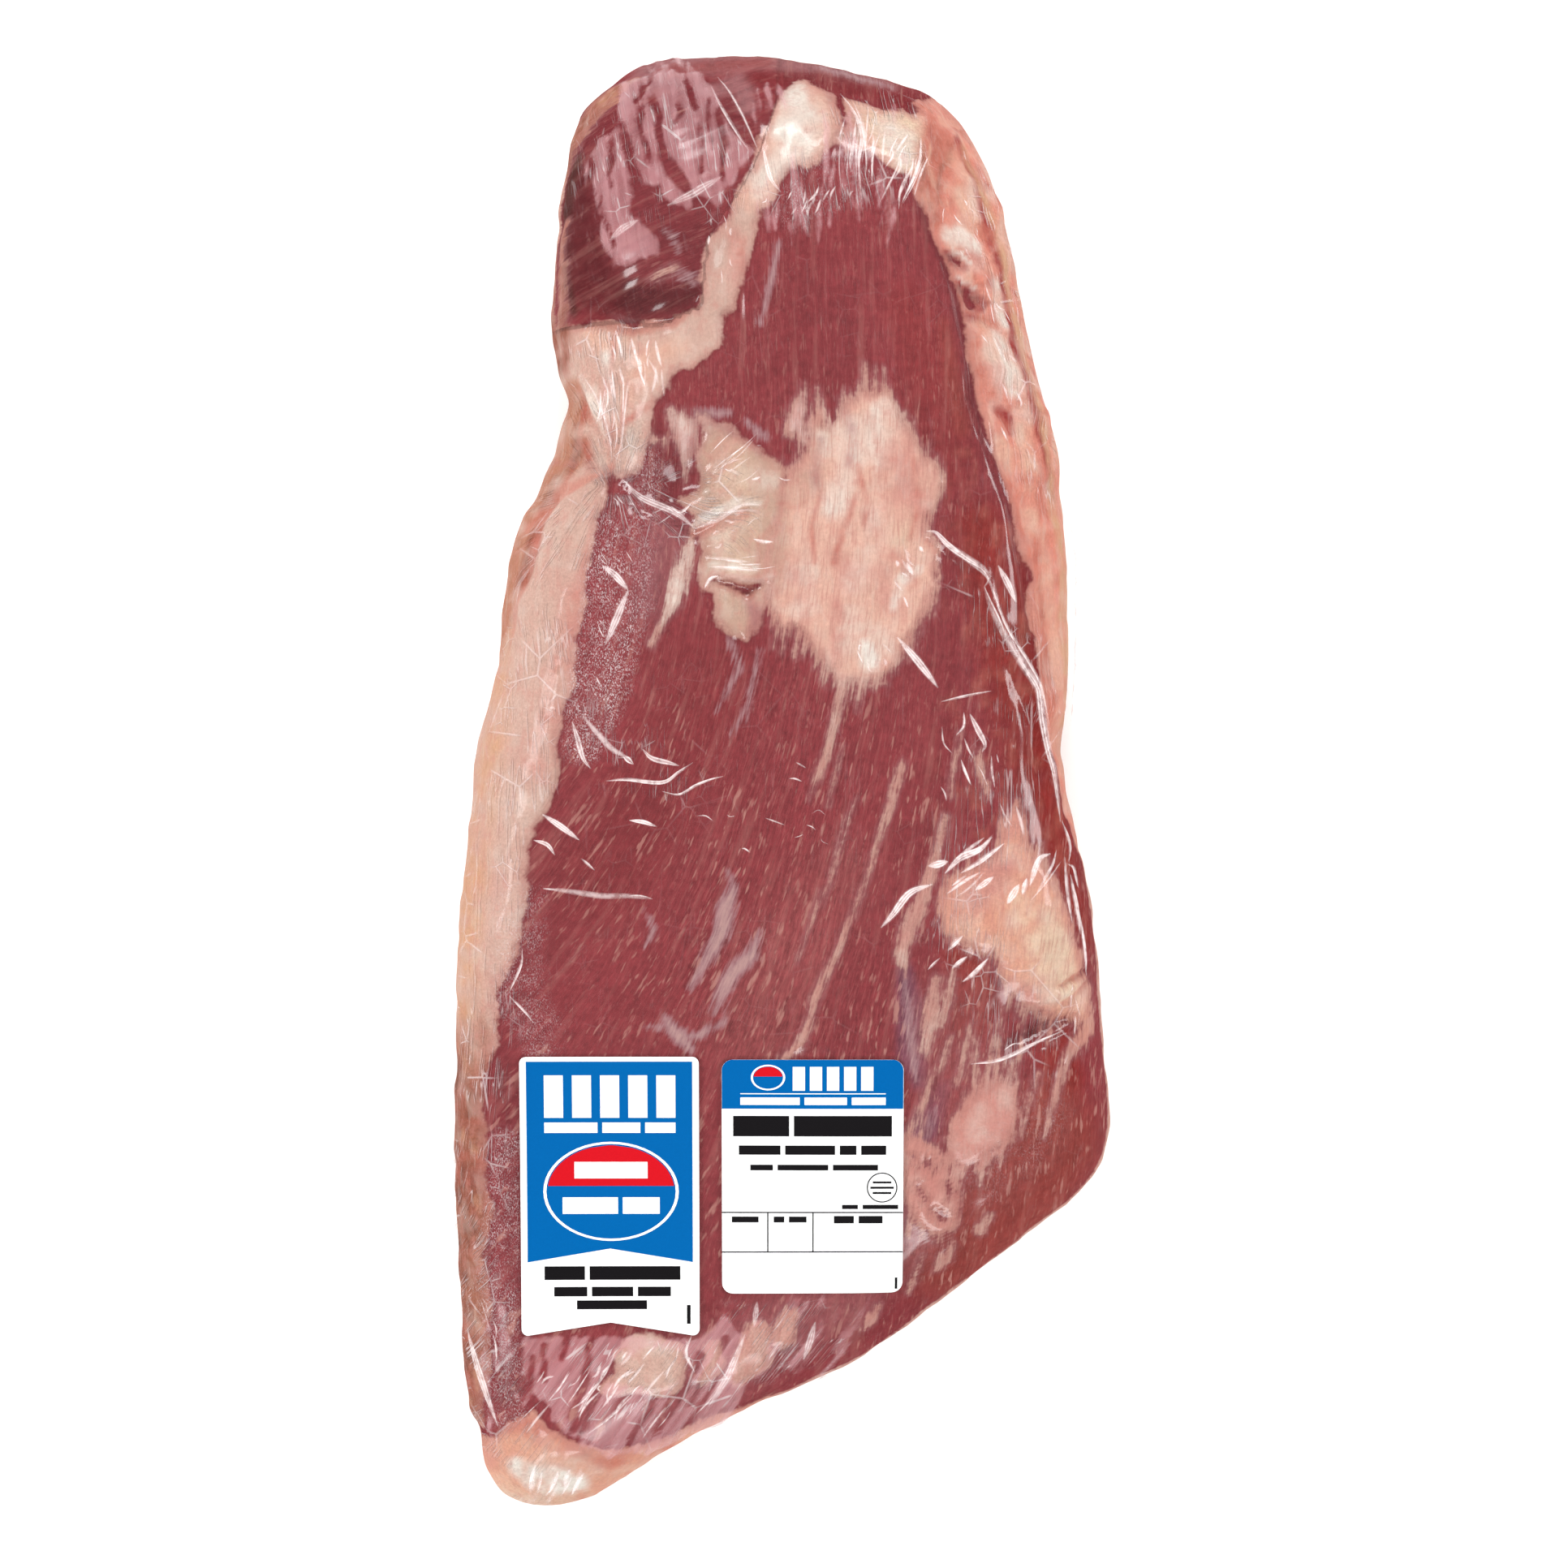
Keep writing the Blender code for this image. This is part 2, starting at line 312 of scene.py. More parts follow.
FAT_PATCHES = {
    "seam": ("shell", [
        (-80, 153), (-70.5, 152.5), (-62.5, 151.5), (-54.5, 150), (-50, 148.5), (-46, 150.5),
        (-39.5, 150.5), (-34.5, 152.5), (-28, 154), (-26, 160), (-27, 165), (-25, 178), (-18, 184),
        (-16, 191), (-6, 200), (-2, 193), (-8, 187), (-10, 172), (-13, 160), (-15, 155), (-21, 154),
        (-22, 150), (-20.5, 142.5), (-25.5, 138.5), (-32, 136.5), (-36.5, 133), (-39.5, 127),
        (-43, 123), (-43.5, 113.5), (-46, 109), (-47.5, 102), (-53, 100), (-65, 104), (-80, 106)]),
    "point_fat": ("peach", [
        (-16, 192), (-10, 205), (-6, 217), (-3, 224), (1, 230), (7, 233), (13, 230), (20, 227),
        (32, 223), (42, 220), (47, 223), (58, 204), (46, 198), (39, 200), (33, 204), (28, 207),
        (21, 206), (16, 210), (13, 207), (7, 201), (1, 198), (-7, 189), (-11, 187)]),
    "side_fat": ("salmon", [
        (43, 226), (48, 219), (46, 206), (42, 195), (46.5, 185.5), (49, 178), (54.5, 170.5),
        (57, 161.5), (58.5, 153.5), (61.5, 142.5), (62.5, 129), (66, 120), (68.5, 108), (76, 90),
        (78, 78), (82, 70), (83, 54), (86, 31), (90, 10), (93, -9), (99, -22), (112, -40),
        (112, 109), (95, 178), (72, 224), (55, 235)]),
    "left_band": ("shell", [
        (-58, 104), (-62, 85), (-63.5, 75), (-65.5, 60.5), (-69, 47.5), (-70, 36), (-71.5, 27.5),
        (-73.5, 16), (-74.5, 4.5), (-76, -5.5), (-79.5, -11.5), (-85.5, -21.5), (-85, -30),
        (-84, -34), (-88, -45), (-89, -56), (-91.5, -64), (-94, -72.5), (-97.5, -90),
        (-100, -107.5), (-99.5, -127.5), (-98, -143), (-99.5, -155.5), (-99, -170.5), (-99.5, -185),
        (-100.5, -201), (-101, -219), (-120, -219), (-120, -9), (-104, 98), (-76, 109)]),
    "flat_tip": ("nectar", [
        (-106, -220), (-97, -220), (-90, -213), (-84, -210), (-79, -216), (-72, -221), (-60, -224),
        (-47, -223), (-36, -220), (-28, -216), (-20, -214), (-4, -208), (-2, -219), (-23, -235),
        (-73, -258), (-106, -248)]),
    "kernel": ("peach", [
        (3, 102), (6, 109), (8, 118), (11, 121), (14, 117), (17, 120), (19, 124), (23, 127),
        (29, 127.5), (34, 126.5), (38, 119), (41, 114), (44, 107), (49, 104), (51, 99), (49.5, 94),
        (48, 88), (47.5, 82), (50, 77), (50, 71), (51.5, 65), (48.5, 60), (46, 55), (44.5, 50),
        (40, 46), (38, 41), (32, 36), (27, 33), (19, 33), (15, 38), (10, 44), (6.5, 48), (3.5, 51),
        (-1, 51), (-5, 56), (-6.5, 62), (-5, 66), (-7, 72), (-6, 79), (-4, 84), (-2, 90),
        (-2, 97)]),
    "beige": ("beige", [
        (-29.5, 122), (-23, 119), (-17, 119), (-12.5, 114), (-7.5, 110.5), (-3, 106), (0.5, 102),
        (0, 71), (-7, 55), (-12, 46), (-18, 48), (-21.5, 54.5), (-23, 63), (-26, 64), (-27.5, 69.5),
        (-27, 76), (-28.5, 84), (-29.5, 88), (-34.5, 93.5), (-28.5, 96), (-28, 100), (-29.5, 106.5),
        (-26, 114)]),
    "flat_fat": ("nectar", [
        (77, -5), (79, -14), (83, -23), (89, -31), (93, -43), (98, -56), (100, -66), (103, -76),
        (104, -84), (98, -87), (99, -80), (90, -79), (81, -74), (74, -66), (68, -56), (61, -54),
        (53, -49), (50, -41), (52, -35), (55, -31), (65, -26), (71, -20), (74, -10)]),
    "comb_fat": ("blush", [
        (60, -106), (65, -99), (72, -98), (78, -100), (77, -111), (74, -120), (68, -126),
        (60, -127), (54, -123), (56, -114)]),
    "pale_wedge": ("pearl", [
        (-38, 122), (-32.5, 123), (-28, 118.5), (-29, 111), (-30.5, 102), (-32.5, 98.5), (-34, 105),
        (-36, 112), (-37.5, 117.5)]),
    "mottled_fat": ("blush", [
        (40, -118), (47, -119), (52, -124), (57, -130), (60, -138), (58, -146), (53, -150),
        (47, -148), (42, -142), (39, -132)]),
    "pale_patch": ("shell", [
        (-57.7, -190.7), (-52, -186.5), (-44.7, -185), (-33.7, -188), (-31.7, -195), (-34, -203),
        (-46, -205), (-58.4, -205.5), (-62, -203), (-57, -197.5)]),
}

# Streaks of fat: x, y and half width at each place along them.
FAT_STREAKS = [
    [(19.5, 32, 2.2), (17.5, 23, 1.6), (15, 12, 1.5), (11, 2.5, 1.3), (8, -5.5, 0.3)],
    [(19.5, 12, 0.6), (18, 6.5, 0.9), (14.5, -7.5, 0.3)],
    [(24, -5, 0.4), (21, -12.5, 0.8), (18, -23, 1), (15, -33, 1), (11, -41, 0.6),
     (4.5, -59.5, 0.3)],
    [(39, 6.5, 1.6), (36.5, -1.5, 1.9), (35, -8, 1.5), (31.5, -15.5, 0.9), (29, -26.5, 0.9),
     (22, -44.5, 1), (18, -55, 1.3), (11, -69.5, 1.3), (9, -77.5, 1.2), (5.5, -86.5, 2),
     (-0.5, -92, 1.8)],
    [(53.5, -10.5, 0.6), (51.5, -19, 0.8), (48, -29.5, 1.5)],
    [(58.5, 16.5, 1.2), (56, 6.5, 1.5), (54.5, -4, 0.6)],
    [(63.5, 10.5, 1.2), (65, 4, 2.2), (67.5, -4, 1.2)],
    [(49.5, -26, 2), (45, -39, 2.5), (41.5, -47, 3), (39, -56, 2.6), (40.5, -64, 1)],
    [(50, -64, 1.5), (48.5, -76, 3), (46, -88.5, 2)],
    [(55.5, -84, 0.8), (52.5, -91.5, 1.3), (46, -106.5, 1), (42, -117, 1)],
    [(97.5, -86, 2.5), (93.5, -91.5, 2), (91, -100.5, 1.4), (87.5, -113.5, 1), (86, -118, 0.4)],
    [(40, -121.5, 3), (44.5, -120.5, 3.5), (47.5, -127, 4), (45.5, -134, 3.5), (44, -142, 2.5),
     (42, -151, 1.5)],
    [(69, -144, 1.5), (66, -149.5, 2)],
    [(56.5, -154, 1.5), (54, -159.5, 3), (51.5, -163.5, 1.5)],
    [(47, -157.5, 0.8), (43, -168, 1.8), (42, -171.5, 1)],
    [(32.5, -175, 1), (29, -180.5, 2.2), (27.5, -183, 1)],
    [(-24, -188.5, 3), (-23.5, -195, 4.5), (-27, -200.5, 2.5)],
    [(-9, -185, 5), (-10, -192.5, 7), (-15.5, -199.5, 4)],
    [(2, -179, 4), (0, -186.5, 4.5)],
    [(-42.5, 164, 0.8), (-38.5, 166, 1.5), (-35, 168, 1.2)],
    [(6, 112, 2.2), (5, 118, 2.6), (6.5, 126, 1.2), (7, 131, 0.5)],
    [(62, -80, 0.9), (60, -90, 1.5), (57, -100, 0.9)],
    [(70, -84, 0.8), (69, -92, 1.2), (67, -99, 0.8)],
    [(76, -92, 0.7), (74, -100, 1.1), (71, -108, 0.7)],
    [(84, -96, 0.7), (81, -106, 1.2), (78, -118, 0.7)],
    [(56, -62, 1.2), (55, -70, 1.8), (52, -80, 1.2)],
    [(70, -98, 1.4), (71, -88, 1.2), (72, -78, 0.5)],
    [(76, -98, 1), (78, -90, 0.9), (80, -82, 0.4)],
    [(64, -101, 1.2), (63, -92, 1), (64, -84, 0.5)],
    [(-43, 113, 1.2), (-39.5, 111.5, 1.4)],
    [(-73, 207, 1.5), (-70, 214, 3.5), (-63.5, 222, 4), (-56.5, 228.5, 4), (-49, 233.5, 1.5)],
    [(-30, 85, 1.2), (-31, 78, 2.2), (-33.5, 69, 3.2), (-36, 60, 3), (-39, 54, 1.6),
     (-44, 45, 0.9)],
    [(6, 128, 0.8), (4, 122, 2.5), (2.5, 115.5, 3)],
    [(-72, 186.5, 1.5), (-73.5, 168.5, 2.2), (-74, 150, 2.2), (-72.5, 137, 2)],
]

# Patches whose edges fray along the fibres: the pitch of the tufts and how far they reach.
TUFTED = [
    ("kernel", 2.8, 9),
    ("mottled_fat", 3, 7),
    ("flat_fat", 4, 7),
    ("comb_fat", 3, 9),
]
TUFT_SEED = 300
# How much narrower streaks and tufts are than drawn, because their noisy edges spread.
STREAK_TRIM = 0.55

# Thin silverskin, which shows lilac over the lean.
SILVER_STREAKS = [
    [(-18.5, -29, 1), (-16.5, -34, 2), (-19.5, -41.5, 3.8), (-20.5, -49.5, 3.4), (-25, -57, 2.6),
     (-31, -67.5, 1.5)],
    [(-8, -48.5, 1), (-11, -56.5, 3), (-16.5, -62, 3.4), (-21, -70, 2.6), (-23.5, -76, 1.2)],
    [(-40, -76, 1), (-38, -80, 2.6), (-34.5, -84, 3.4), (-31, -88, 2)],
    [(-46, -81, 0.5), (-40, -81, 1.4)],
    [(-36, -84, 1.8), (-27, -83, 1.9), (-20, -79, 1.2), (-18.5, -72, 0.8)],
    [(-46, -42, 0.8), (-43, -48, 1.6), (-46, -54, 0.8)],
    [(40, -64, 0.8), (41.5, -76, 1.8), (42.5, -88.5, 2), (44, -98.5, 1)],
    [(50, -108, 0.8), (48, -116, 1.2), (44, -122, 0.8)],
    [(-28, 121, 2), (-24, 120.5, 2.4), (-18, 121, 1.6)],
    [(-12, 118, 1.4), (-6, 113, 2)],
    [(-39, 180, 1), (-36, 178, 1.8), (-34.5, 173.5, 1)],
    [(-35, 165, 1), (-31, 164.5, 1.8), (-29.5, 163, 0.8)],
    [(-2, 176, 1.4), (-5, 160, 1.6), (-8, 150, 0.8)],
    [(12, 240, 1.4), (26, 236, 2), (36, 232, 1)],
    [(-17.5, 47.5, 1.5), (-14.5, 37.5, 1.5), (-18.5, 30, 1), (-22.5, 23.5, 0.4)],
    [(-8, 44, 1), (-11, 30, 1.3), (-12.5, 19.5, 0.5)],
    [(-17.5, 16, 0.5), (-13.5, 23, 1.2), (-11, 28, 0.8)],
    [(-34.5, 167, 1), (-26.5, 164.5, 1.5)],
]

# Gashes and gaps where lean shows between fat.
LEAN_GAPS = [
    [(-23, 66.5, 0.4), (-17, 65, 1), (-11.5, 63, 1.4), (-8, 65.5, 0.5)],
    [(16, 236, 2), (18, 228, 1.6), (20, 216, 0.4)],
    [(55, 172, 1), (58.5, 171, 1.2)],
    [(62, 161, 1.4), (64, 157.5, 1.4)],
    [(48, -126, 1), (50, -129, 0.6)],
    [(54, -133, 0.8), (56, -137, 1.2)],
    [(45, -134, 0.7), (47, -139, 0.9)],
    [(50, -142, 0.9), (53, -145, 1)],
    [(43, -124, 0.6), (44, -128, 0.8)],
]

# Tints laid over the fat, one after another: tone, strength, softness, and a stroke.
FAT_TINTS = [
    # The top of the point: cream, with painted highlights in ivory.
    ("cream", 1, 6, [(2, 229, 3), (4, 218, 7), (3, 208, 5), (0, 200, 2)]),
    ("cream", 1, 4, [(-15, 197, 1.5), (-10, 202, 3), (-7, 198, 3), (-8, 192, 1.5)]),
    ("butter", 1, 5, [(31, 216, 4), (38, 212, 7), (41, 204, 4)]),
    ("painted_highlight", 0.8, 5, [(3, 226, 2), (4, 215, 5), (2, 206, 3)]),
    ("painted_highlight", 0.7, 4, [(33, 215, 2), (38, 210, 4), (41, 204, 2)]),
    ("cream", 0.9, 2, [(34, 218, 0.8), (35, 210, 1.2), (37, 203, 0.6)]),
    ("mauve", 0.5, 4, [(18, 227, 3), (21, 215, 3.5), (20, 205, 3)]),
    ("blush", 0.7, 4, [(-17, 179, 1), (-15, 172, 2), (-16, 166, 1)]),
    ("rose", 0.5, 2, [(-13, 177, 0.5), (-14, 168, 0.8)]),
    # The side of the point: brownish pink above, then knobs, pits of blood and a peach flank.
    ("sienna", 1, 4, [(50, 215.5, 3), (49, 205, 5), (48, 196, 4), (48.5, 187, 3)]),
    ("coral", 0.8, 2, [(47, 211, 1), (50, 201, 1.6), (52, 192, 1)]),
    ("brown", 1.1, 0.9, [(56, 213.5, 0.4), (57, 207.5, 0.7), (53, 203, 0.7), (52, 196, 0.6),
                         (52, 191, 0.4)]),
    ("brown", 0.9, 0.8, [(44.5, 209, 0.4), (46, 201, 0.6), (45, 194, 0.4)]),
    ("apricot", 0.9, 1, [(49, 211, 0.5), (48, 203, 0.8), (50, 197, 0.5)]),
    ("apricot", 1, 3, [(58, 210, 1), (61, 201, 2.6), (62, 192, 3), (62.5, 184, 2.4)]),
    ("coral", 0.9, 2, [(65, 200, 0.8), (67.5, 191, 1.4), (69, 182, 1.4)]),
    ("cream", 0.9, 3, [(55, 180, 2), (60, 180.5, 2.5), (64, 177, 1.5)]),
    # A painted highlight in ivory on the knob.
    ("painted_highlight", 0.9, 1.4, [(57, 182, 0.6), (60, 181.5, 1), (62, 180, 0.5)]),
    ("blush", 0.7, 2, [(59, 175, 1), (63, 173, 1.5), (66, 169, 1)]),
    ("blood", 1.8, 1, [(52.5, 173, 1.4), (56, 171.5, 2.2), (59.5, 169, 1.2)]),
    ("maroon", 1.8, 0.7, [(54, 172.5, 0.8), (57.5, 171, 1.2)]),
    # Painted highlights in ivory that glint by the pits of blood, here and below.
    ("painted_highlight", 1.2, 0.6, [(56, 174.8, 0.4), (59.5, 173.5, 0.6), (62, 171, 0.3)]),
    ("blood", 2, 1.2, [(57, 163, 2.2), (60.5, 159.5, 3.8), (65.5, 158, 2.2)]),
    ("maroon", 2, 0.9, [(58, 161.5, 1.2), (62, 158.5, 1.8), (65, 159, 0.8)]),
    ("painted_highlight", 1.2, 0.6, [(57, 166, 0.3), (60, 164.5, 0.6), (64, 163, 0.3)]),
    ("painted_highlight", 1, 0.6, [(60, 155.5, 0.3), (64, 155, 0.5), (67, 153.5, 0.3)]),
    ("coral", 1.2, 2, [(59, 154, 1.4), (65, 152.5, 1.8), (70, 150.5, 1)]),
    ("blood", 1, 1.2, [(68.5, 167, 0.8), (68.5, 164.5, 0.8)]),
    ("blood", 0.8, 1.6, [(59, 153, 0.8), (64, 153, 1), (68, 150, 0.6)]),
    ("cream", 0.9, 2.4, [(70.5, 166, 1.2), (73, 158.5, 1.6), (74, 152, 1.2)]),
    ("cream", 1, 3, [(70, 147, 1.6), (74, 138.5, 2.6), (76.5, 130.5, 2)]),
    ("apricot", 0.8, 3, [(66, 150, 1.5), (68, 140, 1.5)]),
    ("coral", 0.9, 2.4, [(62, 147, 0.8), (63.5, 138, 1.4), (65, 129, 1.2)]),
    ("blood", 1.2, 2.2, [(71.5, 123, 1), (74.5, 120.5, 1.8), (76.5, 116.5, 1)]),
    ("blood", 0.8, 2, [(68.5, 114.5, 1), (67.5, 110, 1.2)]),
    ("apricot", 0.9, 3, [(71, 112, 2), (74, 106, 2)]),
    ("coral", 0.9, 3, [(73, 104, 1), (76, 94, 2), (79, 84, 1)]),
    ("apricot", 0.9, 3, [(80, 118, 1.5), (82, 106, 2), (82, 96, 1.5), (84, 84, 1.5)]),
    ("coral", 0.45, 4, [(84, 76, 2), (88, 60, 3), (92, 36, 3), (95, 8, 2)]),
    ("apricot", 0.7, 3, [(88, 84, 1), (93, 56, 2), (95, 30, 2), (97, 4, 1)]),
    ("sienna", 0.6, 1.6, [(86, 76, 0.5), (90, 50, 0.9), (92, 26, 0.6)]),
    ("sienna", 0.6, 1.2, [(83, 68, 0.4), (86.5, 48, 0.6), (89, 24, 0.6), (92, 0, 0.4)]),
    ("blood", 1.2, 1.5, [(59, 215.5, 0.8), (62.5, 208, 1.4), (65.5, 199, 1.2), (68, 188.5, 1.5),
                         (70, 179.5, 1.4), (73.5, 167.5, 1.2), (76.5, 157, 1.2), (78, 146, 1.8),
                         (81, 136.5, 1.4), (84.5, 124.5, 1.2), (89, 111.5, 1.2), (93, 96, 1)]),
    ("honey", 0.9, 2, [(61.5, 212.5, 0.6), (69, 191.5, 0.8), (76, 166, 0.8), (82.5, 136.5, 0.8),
                       (90.5, 110, 0.8), (98, 70, 1.5), (99, 20, 1.5)]),
    # The left band: rosy along its inner side, tan and brown where its outer layer shows.
    ("blush", 0.5, 5, [(-66, 66, 2), (-71, 45, 2.5), (-77, 22, 2.5), (-80, 5, 2)]),
    ("honey", 0.8, 5, [(-92, 50, 1), (-95, 20, 2.5), (-99, -10, 3), (-103, -40, 4),
                       (-105, -75, 4)]),
    ("tan", 1.2, 2, [(-72, 108, 1.5), (-84, 88, 4), (-88.5, 76, 4), (-92.5, 60, 3.5),
                     (-95, 44, 1.5)]),
    ("brown", 1, 2, [(-69, 110, 1), (-79.5, 90, 1.2), (-81.5, 78, 1.6), (-86, 64, 1)]),
    ("sienna", 0.9, 1.4, [(-80.5, 80, 0.8), (-82, 75, 1)]),
    ("tan", 1.2, 3, [(-72, 130, 4), (-70, 118, 5), (-71, 106, 4)]),
    ("sienna", 0.9, 1.8, [(-66.5, 124.5, 0.6), (-66.5, 116.5, 1), (-64.5, 107.5, 0.8)]),
    ("brown", 0.9, 1.6, [(-68.5, 119, 0.6), (-68, 110.5, 1), (-70, 103, 0.8)]),
    ("cream", 0.8, 3, [(-63, 128, 1.5), (-60, 120, 2), (-59, 112, 1)]),
    ("apricot", 0.5, 4, [(-50, 128, 2), (-44, 138, 4), (-34, 143, 2)]),
    # A painted highlight in ivory on the seam's fat.
    ("painted_highlight", 0.7, 2, [(-58, 142, 1), (-58, 134, 1.4), (-57.5, 126, 0.6)]),
    ("cream", 1.2, 3, [(-30, 85, 1), (-31, 78, 2), (-33.5, 69, 3), (-36, 60, 3), (-39, 54, 1)]),
    ("mauve", 0.7, 2, [(-28.5, 118, 0.6), (-29.5, 111, 0.8), (-31, 103, 0.6)]),
    ("pearl", 1, 3, [(6, 112, 2), (5, 118, 2), (6.5, 126, 1)]),
    ("apricot", 0.8, 3, [(-64, 150, 2), (-60, 146, 3), (-50, 146, 2)]),
    # Painted shadow: a dark line in the furrow of a fold at the flat's right edge.
    ("maroon", 0.9, 1.2, [(100, -62.5, 0.6), (96, -64.5, 0.9), (92, -66.5, 0.4)]),
    ("blush", 0.7, 1.2, [(-55, 148.5, 0.4), (-56.5, 136, 0.5), (-56.5, 123, 0.5),
                         (-56.5, 106, 0.5)]),
    ("rose", 0.6, 1.2, [(-51, 131.5, 0.4), (-53, 116.5, 0.5), (-55.5, 106.5, 0.5)]),
    ("blush", 0.7, 1.2, [(-58, 134, 0.4), (-59, 120.5, 0.5), (-57.5, 107.5, 0.5)]),
    ("rose", 0.7, 1.4, [(-42, 124.5, 0.5), (-48.5, 120.5, 0.7), (-52.5, 118, 0.4)]),
    ("cream", 0.7, 1.4, [(-50, 114, 1.2), (-50, 108, 1)]),
    ("tan", 1.2, 3, [(-67, 214, 1.5), (-63, 218, 2.5), (-57, 223, 3), (-51, 229, 2)]),
    ("honey", 1.2, 1.5, [(-65, 220, 1.2), (-59, 225, 1.6), (-54, 229, 1)]),
    ("umber", 1.8, 0.8, [(-68, 211, 0.5), (-64.5, 216, 0.9), (-61, 219.5, 0.9), (-58, 221.5, 0.5)]),
    ("umber", 1.2, 0.7, [(-63, 222, 0.4), (-60.5, 221, 0.7), (-57.5, 224, 0.5),
                         (-55.5, 226.5, 0.4)]),
    ("brown", 0.9, 2, [(-68, 212, 1), (-61, 222, 1), (-53, 229, 1)]),
    ("apricot", 0.8, 1.4, [(-60, 225, 0.8), (-55, 229, 1), (-50, 232, 0.6)]),
    ("brown", 1.2, 3, [(-70, 188, 2), (-73, 172.5, 4), (-75, 158, 4), (-75, 140, 3)]),
    ("umber", 0.6, 1.6, [(-70, 180, 0.6), (-72, 165, 0.8), (-72, 152, 0.6)]),
    # The kernel and the beige fat beside it.
    ("beige", 0.5, 4, [(12, 112, 3), (6, 96, 4)]),
    ("cream", 0.8, 3.5, [(16.5, 96, 2), (16.5, 91, 3)]),
    ("cream", 0.4, 4, [(30, 88, 2), (30, 82, 3.5), (26, 74, 2), (23, 66, 3)]),
    ("cream", 0.6, 2.5, [(12, 114, 1), (13, 107, 1.6)]),
    ("cream", 0.5, 2.5, [(22, 118, 1), (23, 108, 1.8)]),
    ("cream", 1, 2.6, [(27.5, 44, 1.8), (28, 40, 2.6)]),
    ("butter", 0.6, 4, [(39, 86, 3), (38, 80, 2)]),
    ("blush", 0.6, 4, [(1, 72, 3), (4, 64, 4), (8, 56, 2)]),
    ("blush", 0.6, 4, [(36, 108, 3), (41, 98, 4), (45, 88, 3)]),
    ("blush", 0.7, 2.5, [(17, 60, 1), (18, 50, 2), (17, 40, 1)]),
    ("rose", 0.9, 1.5, [(24, 94.5, 0.4), (19.2, 82.3, 0.7), (16.7, 72.5, 0.9)]),
    ("rose", 0.7, 1.2, [(24, 104, 0.3), (27, 92, 0.6), (26, 84, 0.3)]),
    ("rose", 0.6, 1.2, [(12, 96, 0.3), (9, 84, 0.6), (10, 72, 0.3)]),
    ("rose", 0.6, 1.2, [(42, 106, 0.3), (44, 92, 0.6), (41, 80, 0.3)]),
    ("mauve", 0.5, 2.2, [(20, 123, 0.8), (23, 112, 1.2), (21, 104, 0.6)]),
    ("mauve", 0.5, 2.2, [(12, 112, 0.6), (10, 102, 1.2), (12, 94, 0.6)]),
    ("cream", 0.9, 2.4, [(30, 122, 1), (29, 112, 1.6), (31, 104, 1)]),
    # Painted highlights in ivory on the kernel's cream.
    ("painted_highlight", 0.8, 1.6, [(44, 70, 0.8), (38, 66, 1.6), (36, 58, 0.8)]),
    ("painted_highlight", 0.7, 1.6, [(26, 46, 1), (29, 40, 1.6)]),
    ("rose", 0.6, 2, [(36, 75, 1), (39.5, 71.5, 1.4), (43, 66, 0.6)]),
    ("rose", 0.45, 1.6, [(28, 120, 0.4), (31, 108, 0.8), (34, 96, 0.4)]),
    ("rose", 0.35, 1.4, [(-2, 92, 0.4), (4, 90, 0.7), (10, 94, 0.3)]),
    ("mauve", 0.6, 3, [(-28, 120, 2), (-24, 117, 2), (-14, 115, 1), (-7, 109, 1)]),
    ("butter", 0.4, 5, [(-16, 106, 3), (-14, 84, 5), (-16, 62, 3)]),
    ("rose", 0.5, 1.2, [(-4, 84, 0.4), (-8, 79.5, 0.6), (-8.5, 72.5, 0.5), (-8, 67.5, 0.4)]),
    ("blush", 0.7, 1.4, [(-26, 64, 0.6), (-22.5, 69, 0.8), (-17, 67.5, 0.8), (-8.5, 66.5, 0.8),
                         (-2.5, 68.5, 0.5)]),
    # Painted shadow in coral along the furrow under a fold of the beige fat, and painted highlights
    # in ivory on the crests of the folds.
    ("coral", 1, 1.2, [(-12, 89.5, 0.4), (-21.5, 86, 0.7), (-29.5, 82, 0.8), (-36, 84.5, 0.6)]),
    ("painted_highlight", 0.8, 1.2, [(-8, 91.5, 0.4), (-14, 93.3, 0.6), (-21.5, 89.5, 0.7),
                         (-29.5, 85.5, 0.6)]),
    ("painted_highlight", 0.7, 1.4, [(-24, 72, 0.5), (-17, 71, 0.8), (-9, 70.5, 0.5)]),
    ("mauve", 0.6, 3, [(-12, 60, 1), (-8, 54, 2), (-10, 48, 1)]),
    # The flat's own fat.
    ("blush", 0.8, 6, [(56, -38, 4), (64, -34, 5), (72, -26, 4), (76, -14, 2)]),
    ("rose", 0.4, 2, [(60, -44, 0.6), (66, -40, 1), (70, -48, 0.6)]),
    ("butter", 0.9, 5, [(80, -40, 3), (86, -52, 5), (92, -66, 4)]),
    ("blush", 0.6, 3, [(76, -66, 2), (86, -74, 2)]),
    ("blood", 1, 2, [(58, -137, 1), (59, -143, 1.2)]),
    ("blood", 0.8, 1.4, [(47, -128, 0.6), (50, -134, 0.9), (48, -140, 0.6)]),
    ("blush", 0.8, 3, [(44, -122, 2), (50, -130, 3), (47, -140, 3)]),
    ("cream", 0.6, 3, [(66, -108, 1), (64, -118, 2)]),
    ("rose", 0.5, 1.6, [(60, -108, 0.6), (58, -122, 0.8)]),
    ("butter", 0.6, 5, [(-96, -238, 3), (-84, -243, 4), (-70, -243, 3)]),
    # A painted highlight in ivory on the tip's cream.
    ("painted_highlight", 1.2, 3, [(-90, -230, 2), (-80, -235, 4), (-70, -236, 3)]),
    ("coral", 0.6, 3, [(-90, -214, 2), (-78, -222, 2), (-60, -228, 2), (-40, -225, 1.5)]),
    ("rose", 0.5, 4, [(-96, -216, 2), (-84, -216, 2), (-64, -224, 2), (-40, -220, 2)]),
]

